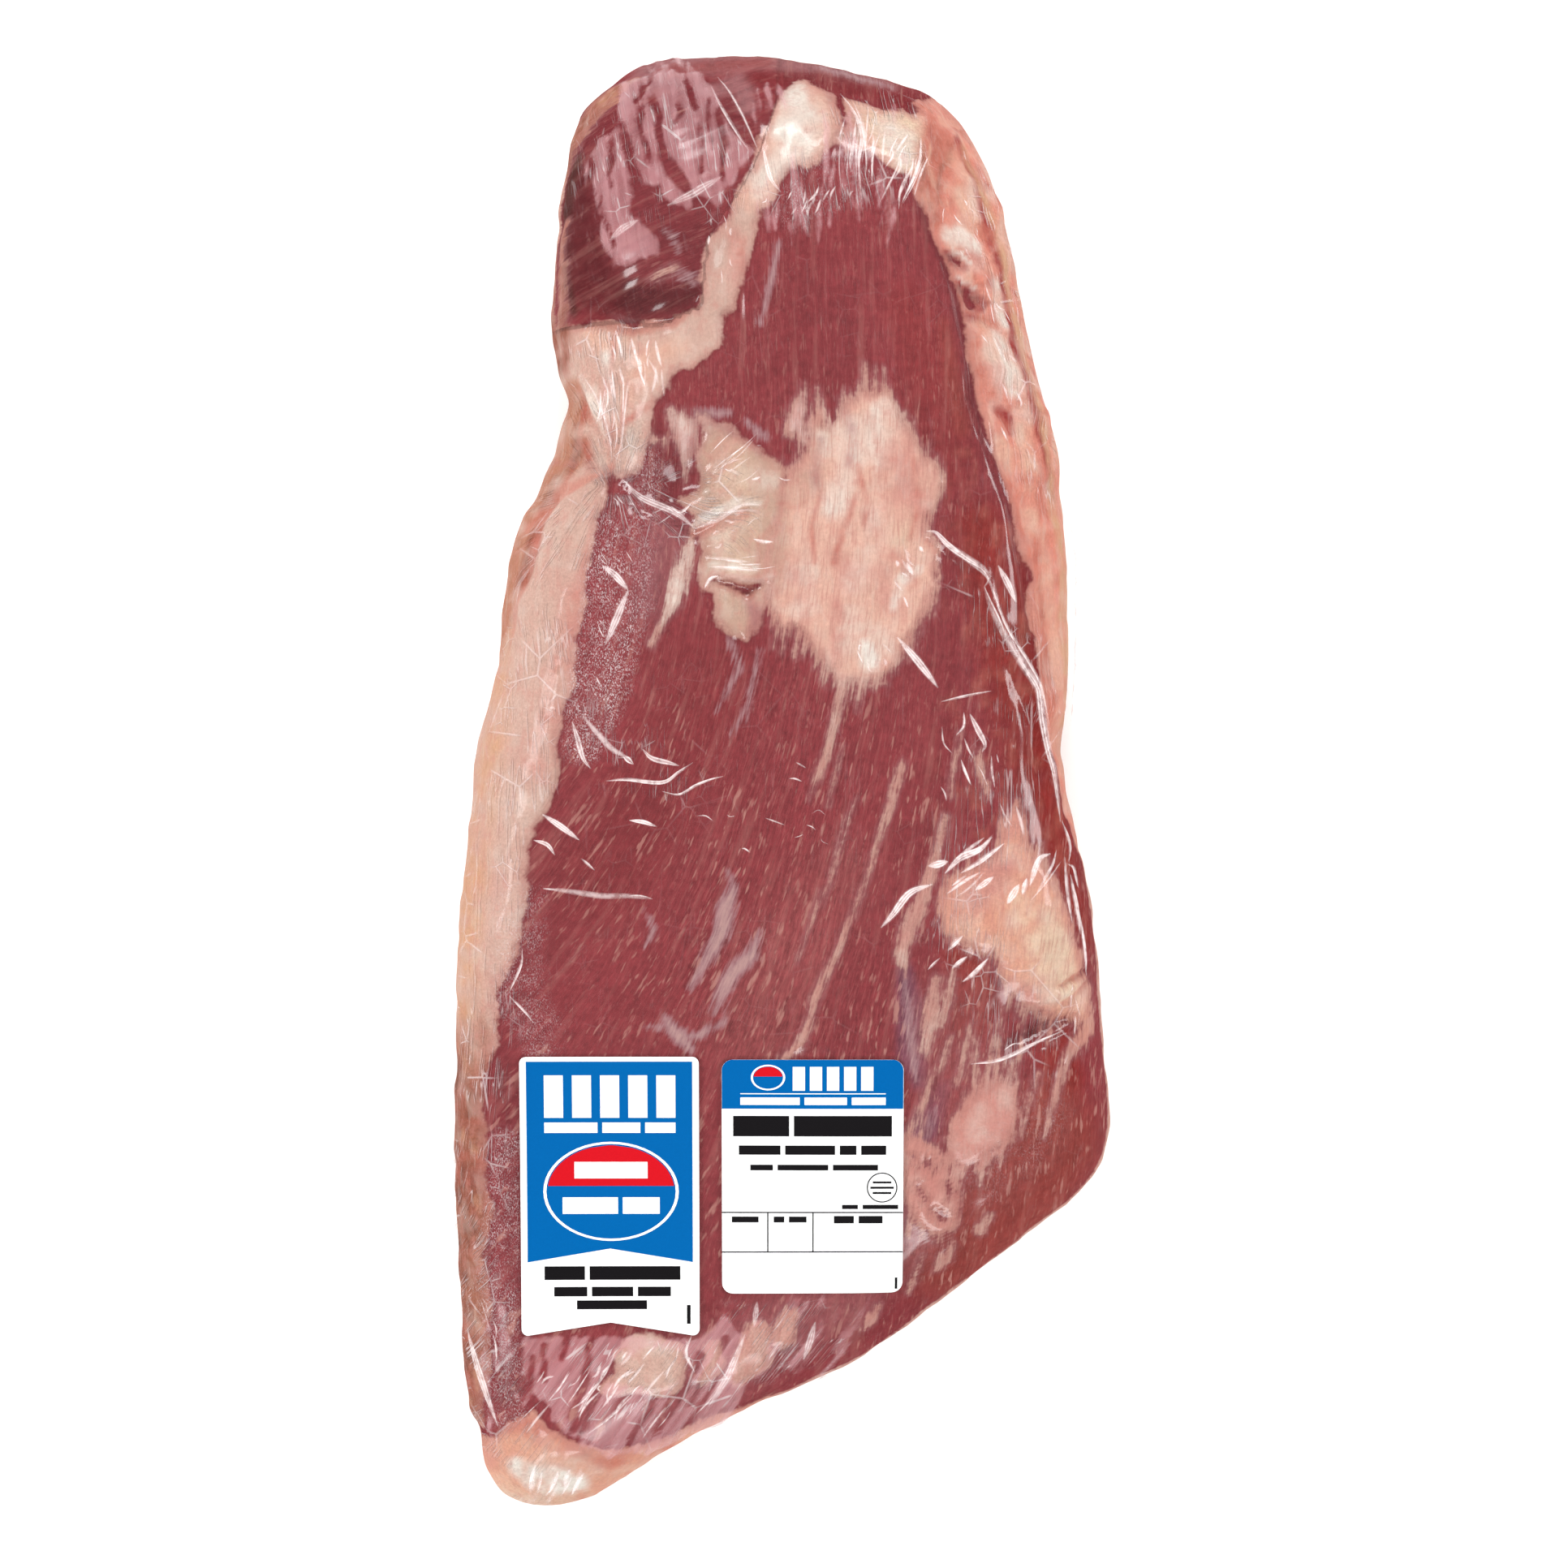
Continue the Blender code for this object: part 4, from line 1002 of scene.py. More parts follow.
# Creases of the bag, white with painted highlights: half width, strength, and the path along the
# crest.
CREASES = [
    (1.2, 0.75, [(-59.5, 71.5), (-55.5, 68.5), (-51, 63.5)]),
    (1.2, 0.7, [(-51, 63.5), (-54, 56), (-58.5, 45.5)]),
    (1.2, 0.5, [(-53, 100), (-47, 94), (-36, 89), (-29, 83.5)]),
    (0.8, 0.4, [(-29, 83.5), (-21.5, 86.5), (-14, 91), (-7.5, 91)]),
    (0.5, 0.9, [(-37, 91), (-34, 89), (-30.5, 91.5)]),
    (0.5, 0.5, [(-26, 74), (-18.5, 73.5), (-11, 72.5)]),
    (0.5, 0.5, [(-25, 71), (-17.5, 70.5), (-10, 69.5)]),
    (0.6, 0.7, [(-26, 64), (-24, 67), (-21.5, 68)]),
    (0.6, 0.7, [(-10, 80), (-7, 79), (-3.5, 79)]),
    (1, 0.8, [(46.5, 82.5), (49.5, 82), (53.5, 78), (59.5, 74), (65, 70.5), (67, 67),
                (65.5, 64.5)]),
    (1.4, 0.8, [(65.5, 64.5), (67.5, 58), (72.5, 48.5), (78.5, 39), (83.5, 32), (84.5, 27),
                (85.5, 20), (87.5, 11), (89.5, 4), (90.5, -4), (91.5, -12.5)]),
    (0.8, 0.7, [(95, -30), (97, -40), (98.5, -50)]),
    (0.6, 0.7, [(98, -42), (100, -54), (101, -64)]),
    (0.7, 0.6, [(93, -24), (94, -36), (95.5, -46)]),
    (0.5, 0.7, [(52.5, 78.5), (59.5, 73), (66, 68), (68.5, 63), (73, 51.5), (80.5, 40), (85, 31.5),
                (88, 17.5)]),
    (1.1, 0.7, [(70, 71.5), (73, 66), (76, 59.5)]),
    (1.2, 0.75, [(37, 48), (44, 40), (50.5, 31.5)]),
    (0.4, 0.7, [(51.5, 27), (60.5, 29), (68, 30.5)]),
    (0.5, 0.7, [(59, 23.5), (59, 19), (56.5, 16)]),
    (0.9, 0.7, [(61, 23), (63.5, 18), (66, 13), (65, 10.5)]),
    (0.9, 0.9, [(-66.5, 23), (-62, 17.5), (-56.5, 11.5), (-53, 9.5), (-49.5, 6.5)]),
    (0.8, 0.7, [(-69.5, 20.5), (-68, 15.5), (-66, 8.5), (-63.5, 5)]),
    (0.6, 0.8, [(-58.5, 1), (-51.5, 1.5), (-40, 0.5), (-34.5, 4), (-30, 7)]),
    (0.8, 0.7, [(-46.5, 11.5), (-43.5, 8.5), (-38, 7), (-34.5, 6)]),
    (0.4, 0.9, [(-40, -2.5), (-34.5, -3.5), (-29, -0.5), (-24, 1.5), (-20, 2.5)]),
    (0.6, 0.9, [(-51, -12), (-46.5, -12.5), (-42, -14)]),
    (1, 0.8, [(-79.5, -10), (-73.5, -14), (-67.5, -18.5)]),
    (0.6, 0.7, [(-82.5, -18.5), (-78, -20), (-75.5, -23.5)]),
    (0.9, 0.7, [(-79.5, -34.5), (-74.5, -35), (-67, -36), (-59.5, -37), (-51.5, -37),
                (-43.5, -38)]),
    (0.4, 0.6, [(-67, -24.5), (-62.5, -28.5)]),
    (0.4, 0.7, [(-91, -69), (-87, -60), (-86.5, -54.5)]),
    (0.4, 0.6, [(-91, -70), (-86, -75), (-83, -79)]),
    (1.2, 0.9, [(32, -47.5), (36, -43), (41.5, -36), (49, -33)]),
    (1.3, 0.9, [(47.5, -27), (50.5, -26.5), (54, -25.5)]),
    (1.1, 0.9, [(53, -29.5), (58, -24.5), (64.5, -21.5), (68.5, -17.5)]),
    (0.8, 0.8, [(58, -29.5), (64.5, -25.5), (72.5, -19.5)]),
    (1, 0.8, [(63, -35), (69, -30.5)]),
    (1.2, 0.9, [(73.5, -39.5), (77.5, -33)]),
    (0.9, 0.9, [(78.5, -36.5), (80, -31)]),
    (1, 0.8, [(81, -33.5), (84, -25), (88, -23)]),
    (0.8, 0.8, [(54, -55), (59, -50)]),
    (0.8, 0.8, [(55.5, -61), (60.5, -57)]),
    (0.8, 0.8, [(59, -65.5), (63, -62.5), (67.5, -57.5)]),
    (0.4, 0.7, [(47.5, -61.5), (51.5, -57.5)]),
    (0.6, 0.9, [(62, -93), (71.5, -91.5), (81.5, -87), (87, -84.5), (93, -82)]),
    (0.5, 0.7, [(94, -26.5), (96.5, -28), (98, -34.5)]),
    (0.5, 0.7, [(92, -12), (95, -20), (94.5, -26)]),
    (0.5, 0.5, [(-22, 234), (-17.5, 227), (-12.5, 216.5), (-8.5, 207)]),
    (0.5, 0.5, [(-24, 230), (-20.5, 222), (-15.5, 213), (-11, 206)]),
    (0.6, 0.6, [(18.5, 228), (23, 220.5), (25.5, 212), (24.5, 204), (24.5, 198)]),
    (0.5, 0.6, [(23, 224.5), (26, 215), (27, 204), (26.5, 198)]),
    (0.6, 0.7, [(45, 212), (44.5, 204), (42.5, 198), (38.5, 189.5)]),
    (0.6, 0.6, [(-7, 208.5), (-4.5, 198), (-1, 193)]),
    (1.3, 0.35, [(-57, 177.5), (-52.5, 181), (-47.5, 183.5)]),
    (1.4, 0.35, [(-38, 188), (-30.5, 191.5), (-25.5, 194.5), (-20, 198)]),
    (0.4, 0.4, [(-66.5, 135), (-61, 126), (-57.5, 115.5), (-56.5, 106)]),
    (0.4, 0.4, [(-51, 132), (-52.5, 119), (-53.5, 111.5), (-55.5, 105)]),
    (0.8, 0.8, [(-83.5, -229), (-86, -238)]),
    (0.5, 0.6, [(-81.5, -231.5), (-83.5, -240)]),
    (0.8, 0.8, [(-76, -231.5), (-79.5, -240)]),
    (0.5, 0.6, [(-71.5, -233.5), (-75.5, -241)]),
    (0.8, 0.8, [(-67.5, -232.5), (-72, -241)]),
    (1.2, 0.7, [(-107, -183.5), (-103.5, -196), (-99.5, -208.5), (-96.5, -216.5)]),
    (1.2, 0.5, [(-13, -184.5), (-18.5, -198), (-21.5, -203.5), (-25.5, -210)]),
    (1, 0.4, [(-9, -173.5), (-10, -182)]),
    (1.2, 0.5, [(10.5, -180.5), (8.5, -188), (6.5, -194)]),
    (0.6, 0.6, [(-31, -185), (-33, -191), (-30, -197.5)]),
    (0.5, 0.5, [(-56, -189), (-60, -197.5), (-66.5, -207), (-69, -214)]),
    (0.5, 0.5, [(-50, -204.5), (-59, -213), (-66.5, -219)]),
]

# Bunches of short glints, in the same way as the pleats.
GLINTS = [
    ((23, 214), (8, 8), 16, (-1, -14), 0.6),
    ((40, 206), (5, 6), 16, (-4.5, -11), 0.6),
    ((38, 72), (5, 8), 9, (2, -3.5), 1),
    ((27, 44), (5, 4), 5, (1.5, -3.5), 0.9),
    ((-20, 103), (5, 4), 10, (8, 6), 0.4),
    ((-16, 72), (6, 3), 6, (8, -0.5), 0.4),
    ((72, 168), (4, 10), 10, (2, -3), 0.5),
    ((60, 190), (6, 12), 12, (1.5, -4), 0.5),
    ((8, 192), (10, 6), 12, (-2, -5), 0.7),
    ((60, -34), (12, 8), 5, (9, 8), 0.8),
    ((84, -42), (8, 10), 5, (6, 9), 0.8),
    ((-47, 140), (8, 6), 14, (1.5, -8), 0.8),
    ((-57, 128), (3, 10), 10, (0, -10), 0.6),
    ((-101, -188), (3, 20), 14, (2.5, -9), 0.5),
    ((-78, -234), (11, 3), 9, (-3, -8), 1.2),
    ((-56, -202), (22, 8), 22, (-6, -8), 0.7),
    ((98, -60), (3, 16), 10, (1, -8), 0.6),
    ((62, 8), (12, 12), 10, (2.5, -6), 0.7),
    ((-58, 70), (8, 26), 10, (2.5, -4), 0.4),
    ((80, -86), (9, 4), 4, (6, 2.5), 0.5),
    ((-20, 92), (12, 14), 8, (3.5, 1), 0.6),
    ((-50, -200), (26, 9), 14, (-3, -5), 0.6),
    ((72, 150), (5, 34), 16, (2, -6), 0.7),
    ((-10, -10), (34, 24), 10, (4, -1), 0.4),
    ((-20, 178), (5, 14), 6, (1, -5), 0.6),
]


# Where the bag is finely wrinkled: strength, and a stroke.
WRINKLED = [
    (1, [(-60, 140, 8), (-58, 118, 8), (-50, 96, 10), (-24, 90, 10)]),
    (1, [(30, 210, 14), (6, 192, 6)]),
    (0.7, [(66, 66, 6), (84, 30, 6), (74, 4, 8), (62, -26, 10)]),
    (0.6, [(60, -50, 8), (84, -84, 10)]),
    (0.8, [(72, 200, 5), (78, 150, 8), (90, 100, 6)]),
    (0.6, [(-52, 206, 14), (-30, 200, 14)]),
    (0.8, [(-60, -196, 16), (-20, -190, 14), (10, -184, 8)]),
    (0.6, [(-66, 20, 6), (-40, 4, 8)]),
    (1, [(-100, -80, 5), (-102, -130, 6), (-102, -190, 6)]),
    (0.6, [(-72, 86, 6), (-80, 40, 8), (-88, 0, 7), (-96, -60, 6), (-101, -120, 5), (-101, -190, 5),
           (-90, -232, 8)]),
]
# Where it shows fine white crackle: strength, softness, and a stroke.
FROSTED = [
    (1, 6, [(-57, 84, 2), (-58, 66, 5), (-57, 48, 7), (-61, 30, 7), (-66, 14, 4)]),
    (0.6, 8, [(-46, 104, 3), (-50, 78, 4), (-52, 56, 5)]),
    (0.25, 10, [(86, -110, 6), (70, -128, 8)]),
    (0.5, 8, [(-86, -40, 4), (-88, -70, 4), (-80, -84, 4)]),
    (0.7, 6, [(-92, -120, 3), (-96, -170, 4), (-94, -210, 4)]),
    (0.3, 8, [(28, 205, 8), (4, 190, 6)]),
]
# Where the fibres of the lean stand out most.
FIBROUS = [(8, 30, 16), (6, -20, 22), (-10, -60, 26), (20, -80, 20), (50, -110, 18)]

# The pinch that the bag's pleats fan out from, and how wide the fan is.
PINCH = (-56, 98)
FAN = 45.0
# How far the pleats run across for each mm up, by place along Y.
PLEAT_RUN = [(-250, 0.75), (-160, 0.7), (-120, 0.1), (120, -0.1), (250, -0.2)]


def pleat_lines():
    """A coordinate across the pleats: x less the sum of their run from the foot up.

    Round the pinch it turns into a fan: PINCH x + FAN * the angle from the pinch, up or down.
    """
    run = np.interp(Y, EACH_MM, np.cumsum(np.interp(EACH_MM, *np.array(PLEAT_RUN).T)))
    fan = PINCH[0] + FAN * np.arctan2(X - PINCH[0], np.abs(Y - PINCH[1]) + 5)
    near = ease(np.hypot(X - PINCH[0], Y - PINCH[1]), 62, 30)
    return X + (fan - X) * near - run


PLEATS = pleat_lines()


def scattered(bunches, seed):
    """Short bowed paths, each with a half width: seeded, a bell curve round each bunch's middle."""
    random = np.random.default_rng(seed)
    made = []
    for middle, spread, count, run, widest in bunches:
        for _ in range(count):
            start = np.array(middle) + np.array(spread) * random.normal(0, 0.7, 2)
            end = start + np.array(run) * random.uniform(0.5, 1.4) + random.normal(0, 1.0, 2)
            bow = (start + end) / 2 + random.normal(0, 0.5, 2)
            made.append((np.array([start, bow, end]), random.uniform(0.35, 1.0) * widest))
    return made


def film_haze():
    """How far into a panel of painted reflection each place is, in mm. Its edges are frayed along
    the pleats.
    """
    bend = 0.9 * cloud(X / 2, Y, 5, 63)
    panels = np.max([patch(X + bend, Y, outline) for outline in HAZE_PANELS], axis=0)
    veils = [
        np.column_stack([path, [0.3, half_width, 0.3]])
        for path, half_width in scattered(VEILS, VEIL_SEED)
    ]
    veils = np.maximum(strokes(X + bend, Y, HAZE_STRIPS), strokes(X + bend / 2, Y, veils) - 0.2)
    panels = np.maximum(panels, np.minimum(veils, 0.4 + 0.6 * cloud(PLEATS, Y / 6, 3.2, 65)))
    frayed = cloud(PLEATS, Y / 5, 3.4, 61) + 0.5 * cloud(PLEATS, Y / 2, 1.8, 62)
    panels = np.minimum(panels + frayed, -strokes(X + bend, Y, CONTACT_LINES) + 0.3 * frayed)
    panels = np.minimum(panels, 0.4 - 0.7 * strokes(X, Y, CLEARED))
    return np.where(LEAN_SIDE, np.maximum(panels, stroke(X, Y, TENT)), -5.0)


def film_frost():
    """How much fine white crackle the bag shows, from 0 to 1."""
    return np.max([
        share * ease(stroke(X, Y, points), -soft, 0) for share, soft, points in FROSTED
    ], axis=0) * LEAN_SIDE


def wrinkled():
    """How strongly the bag is finely wrinkled, from 0.15 to 1, and 0 under the labels."""
    bands = np.max([
        share * ease(stroke(X, Y, points), -10, 2) for share, points in WRINKLED
    ], axis=0)
    return (0.15 + 0.85 * bands) * CALM


def film_lift(meat, haze):
    """The bag lies FILM_GAP off the meat, bulges where it shows a painted reflection and bridges
    the hollow.
    """
    lift = meat + FILM_GAP
    beside = (Y > HOLLOW_FOOT - 4) & (Y < HOLLOW_TOP + 4) & (X > HOLLOW_LEFT - 2)
    lift = np.where(beside, np.maximum(lift, -SAG), lift)
    side = ease(Z, 4, 14) * ease(NORMAL[..., 2], 0.75, 0.3)
    pleats = side * 0.35 * cloud(X + Y, Z / 6, 2.6, 71)
    puffed = ease(haze, -0.5, 2.5) * CALM * LEAN_SIDE
    return lift + puffed * (0.7 + 0.4 * cloud(PLEATS, Y / 7, 2.6, 72)) + pleats


# ---- meshes

def piece_of(name, points, faces, attributes, material):
    """A mesh object from arrays, smooth shaded, with one value of each attribute for each point."""
    mesh = bpy.data.meshes.new(name)
    mesh.from_pydata((points * MM).tolist(), [], faces)
    for title, values in attributes.items():
        if values.ndim == 2:
            values = np.concatenate([values, np.ones((len(values), 1))], 1)
        kind, field = ("FLOAT", "value") if values.ndim == 1 else ("FLOAT_COLOR", "color")
        made = mesh.attributes.new(title, kind, "POINT")
        made.data.foreach_set(field, values.astype(np.float32).ravel())
    mesh.shade_smooth()
    mesh.materials.append(material)
    piece = bpy.data.objects.new(name, mesh)
    bpy.context.scene.collection.objects.link(piece)
    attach(piece, "root")
    return piece


def tube_faces(rings, count):
    """Quads between rings of count points each, and fans to the two poles that follow the rings."""
    start = np.arange(rings * count).reshape(rings, count)
    near, far = start[:-1], start[1:]
    corners = [near, np.roll(near, -1, axis=1), np.roll(far, -1, axis=1), far]
    quads = np.stack(corners, -1).reshape(-1, 4)
    first, last, pole = start[0], start[-1], rings * count
    caps = [
        np.stack([np.full(count, pole), np.roll(first, -1), first], -1),
        np.stack([np.full(count, pole + 1), last, np.roll(last, -1)], -1),
    ]
    return quads, np.concatenate(caps)


def closed_skin(name, lift, lowest, attributes, material):
    """The skin pushed out along its normals by lift, its rings joined and its two tips closed."""
    rings = SKIN + NORMAL * lift[..., None]
    rings[..., 2] = np.maximum(rings[..., 2], lowest)
    tips = np.stack([
        [ROWS[end, 1], ROWS[end, 0], ROWS[end, 3]] + np.array([0, sign * lift[end].mean(), 0])
        for end, sign in ((0, -1), (-1, 1))
    ])
    points = np.concatenate([rings.reshape(-1, 3), tips])
    quads, caps = tube_faces(*X.shape)
    filled = {}
    for title, values in attributes.items():
        ends = values[[0, -1]].mean(axis=1)
        filled[title] = np.concatenate([values.reshape(-1, *values.shape[2:]), ends])
    return piece_of(name, points, quads.tolist() + caps.tolist(), filled, material)


def sheer(piece):
    """Lets light past a piece of the bag: it is seen, and doesn't shade or light what is below."""
    piece.visible_shadow = piece.visible_diffuse = piece.visible_glossy = False


class Wires:
    """Short ways to add nodes and join them. A number, a colour or a socket fits any input."""

    def __init__(self, tree):
        self.tree = tree

    def put(self, socket, value):
        if isinstance(value, bpy.types.NodeSocket):
            self.tree.links.new(value, socket)
        elif isinstance(value, np.ndarray):
            socket.default_value = [*value, 1.0][: len(socket.default_value)]
        elif value is not None:
            socket.default_value = value

    def node(self, kind, inputs=(), **settings):
        made = self.tree.nodes.new(kind)
        for name, value in settings.items():
            setattr(made, name, value)
        for name, value in dict(inputs).items():
            self.put(made.inputs[name], value)
        return made

    def value(self, name):
        return self.node("ShaderNodeAttribute", attribute_name=name).outputs["Fac"]

    def colour(self, name):
        return self.node("ShaderNodeAttribute", attribute_name=name).outputs["Color"]

    def maths(self, operation, *values):
        inputs = dict(enumerate(values))
        return self.node("ShaderNodeMath", inputs, operation=operation).outputs[0]

    def joined(self, operation, first, *others):
        """Two or more values joined by one operation, from the left."""
        for other in others:
            first = self.maths(operation, first, other)
        return first

    def total(self, *values):
        return self.joined("ADD", *values)

    def product(self, *values):
        return self.joined("MULTIPLY", *values)

    def largest(self, *values):
        return self.joined("MAXIMUM", *values)

    def swing(self, value, reach):
        """A noise value moved to swing about 0, as far as the reach."""
        return self.product(self.maths("SUBTRACT", value, 0.5), reach)

    def place(self, x, y, z=0.0):
        return self.node("ShaderNodeCombineXYZ", {0: x, 1: y, 2: z}).outputs[0]

    def object_place(self):
        return self.node("ShaderNodeTexCoord").outputs["Object"]

    def stretched(self, vector, factors):
        """A place with each of its coordinates times a factor."""
        inputs = {0: vector, 1: factors}
        return self.node("ShaderNodeVectorMath", inputs, operation="MULTIPLY").outputs[0]

    def noise(self, vector, scale, detail=3.0, rough=0.55, twist=0.0):
        inputs = {"Vector": vector, "Scale": scale, "Detail": detail, "Roughness": rough}
        return self.node("ShaderNodeTexNoise", {**inputs, "Distortion": twist}).outputs["Fac"]

    def ramp(self, value, low, high, to_low=0.0, to_high=1.0):
        """A value carried smoothly from one range to another, and held at both ends."""
        ends = {"From Min": low, "From Max": high, "To Min": to_low, "To Max": to_high}
        return self.node(
            "ShaderNodeMapRange", {"Value": value, **ends}, interpolation_type="SMOOTHSTEP"
        ).outputs["Result"]

    def mix(self, share, first, second):
        """Two colours mixed: the first at a share of 0, the second at 1."""
        inputs = {0: share, 6: first, 7: second}
        return self.node("ShaderNodeMix", inputs, data_type="RGBA").outputs[2]

    def shaded(self, colour, factor):
        """A colour made lighter or darker by a factor."""
        inputs = {0: colour, "Scale": factor}
        return self.node("ShaderNodeVectorMath", inputs, operation="SCALE").outputs[0]

    def bump(self, rise, distance, normal=None):
        """The normal of a bumpy surface. The distance is in mm."""
        inputs = {"Height": rise, "Strength": 1.0, "Distance": distance * MM, "Normal": normal}
        return self.node("ShaderNodeBump", inputs).outputs["Normal"]


def new_material(name, **settings):
    """An empty material with a Principled shader set as given, and the wires to build it."""
    material = bpy.data.materials.new(name)
    material.use_nodes = True
    shader = material.node_tree.nodes["Principled BSDF"]
    for title, value in settings.items():
        shader.inputs[title.replace("_", " ")].default_value = value
    return material, Wires(material.node_tree), shader


# ---- materials

def node_group(name, inputs, outputs):
    """An empty shader node group with the named sockets, its wires, and its two end nodes."""
    group = bpy.data.node_groups.new(name, "ShaderNodeTree")
    for title, kind in inputs:
        group.interface.new_socket(title, in_out="INPUT", socket_type="NodeSocket" + kind)
    for title, kind in outputs:
        group.interface.new_socket(title, in_out="OUTPUT", socket_type="NodeSocket" + kind)
    wires = Wires(group)
    return group, wires, wires.node("NodeGroupInput"), wires.node("NodeGroupOutput")


def wrinkle_group():
    """Fine ridges of the bag: straight ones where cells meet, and long ones along the pleats.

    Both are kept only in patches where a broad noise is high.
    """
    group, wires, start, end = node_group(
        "bag_wrinkles",
        [("Place", "Vector"), ("Pleat", "Vector"), ("Amount", "Float")],
        [("Ridge", "Float")],
    )
    place, pleat = start.outputs["Place"], start.outputs["Pleat"]

    def ridge(off, width, patches, low, high):
        """1 on a line and 0 from its width on, only in patches from low to high of a noise."""
        kept = wires.ramp(wires.noise(place, patches, 1.0), low, high)
        return wires.product(wires.ramp(off, 0.0, width, 1.0, 0.0), kept)

    def cell_edge(scale):
        """How far off the edge of a cell each place is."""
        inputs = {"Vector": place, "Scale": scale, "Randomness": 1.0}
        return wires.node(
            "ShaderNodeTexVoronoi", inputs, feature="DISTANCE_TO_EDGE", voronoi_dimensions="2D"
        ).outputs["Distance"]

    def pleat_line(scale):
        """How far off a pleat's line each place is: where a noise along the pleats crosses 0.5."""
        line = wires.maths("SUBTRACT", wires.noise(pleat, scale, 1.0, 0.4), 0.5)
        return wires.maths("ABSOLUTE", line)

    highest = wires.largest(
        ridge(cell_edge(62.0), 0.04, 40.0, 0.55, 0.64),
        ridge(cell_edge(150.0), 0.06, 55.0, 0.59, 0.68),
        ridge(pleat_line(0.42), 0.016, 70.0, 0.46, 0.58),
        ridge(pleat_line(0.8), 0.022, 110.0, 0.5, 0.62),
    )
    wires.put(end.inputs["Ridge"], wires.product(highest, start.outputs["Amount"]))
    return group


def tooth_group():
    """The fine tooth of printed paper: a shade for the colour, and the normal."""
    group, wires, start, end = node_group(
        "paper_tooth",
        [("Place", "Vector"), ("Colour", "Color")],
        [("Colour", "Color"), ("Normal", "Vector")],
    )
    tooth = wires.noise(start.outputs["Place"], 1400.0, 3.0)
    shade = wires.ramp(tooth, 0.3, 0.7, 0.96, 1.01)
    wires.put(end.inputs["Colour"], wires.shaded(start.outputs["Colour"], shade))
    wires.put(end.inputs["Normal"], wires.bump(tooth, 0.02))
    return group


WRINKLES, TOOTH = wrinkle_group(), tooth_group()


def wrinkles(wires, place, amount):
    """The bag's fine ridges, as strong as the amount. Two attributes place the pleats' lines."""
    pleat = wires.place(wires.value("pleat"), wires.product(wires.value("rise"), 0.05))
    inputs = {"Place": place, "Pleat": pleat, "Amount": amount}
    return wires.node("ShaderNodeGroup", inputs, node_tree=WRINKLES).outputs["Ridge"]


def lean_finish(wires, place, fibre, strands, bundles):
    """Lean meat: fibres as strong as the grain value, flecks of marbling and lilac silverskin."""
    grain = wires.value("grain")
    short = wires.stretched(fibre, (1.0, 2.3, 1.0))
    hairs = wires.noise(fibre, 4.2, 3.0, 0.6)
    flecks = wires.noise(short, 0.8, 2.0, 0.55)
    mottle = wires.noise(place, 420.0, 5.0, 0.7)
    lines = wires.product(wires.total(wires.swing(strands, 1.1), wires.swing(hairs, 1.0)), grain)
    shade = wires.total(lines, wires.swing(bundles, 0.35), wires.swing(mottle, 0.9), 1.01)
    lean = wires.shaded(wires.colour("lean_colour"), shade)
    pale_tone = wires.mix(0.42, wires.colour("lean_colour"), TONES["fleck"])
    threads = wires.maths("ABSOLUTE", wires.swing(wires.noise(fibre, 0.55, 2.0, 0.5), 1.0))
    threads = wires.ramp(threads, 0.0, 0.012, 0.5, 0.0)
    lean = wires.mix(wires.product(threads, wires.ramp(mottle, 0.45, 0.55)), lean, pale_tone)
    lean = wires.mix(wires.ramp(bundles, 0.52, 0.7, 0.0, 0.35), lean, pale_tone)
    pale = wires.product(wires.ramp(strands, 0.54, 0.72, 0.0, 0.4), grain)
    lean = wires.mix(pale, lean, pale_tone)
    large = wires.ramp(wires.noise(short, 0.36, 3.0, 0.6), 0.61, 0.7, 0.0, 0.75)
    marbling = wires.largest(wires.ramp(flecks, 0.6, 0.7, 0.0, 0.65), large)
    lean = wires.mix(wires.product(marbling, wires.value("marbling")), lean, TONES["fleck"])
    veil = wires.total(wires.swing(strands, 5.5), wires.swing(flecks, 3.5))
    veil = wires.total(wires.value("silver"), veil, wires.swing(mottle, 1.5))
    skin = wires.mix(wires.ramp(veil, 0.8, 3.6, 0.0, 0.8), TONES["silver"], TONES["pearl"])
    return wires.mix(wires.ramp(veil, -0.9, 2.0, 0.0, 0.78), lean, skin)


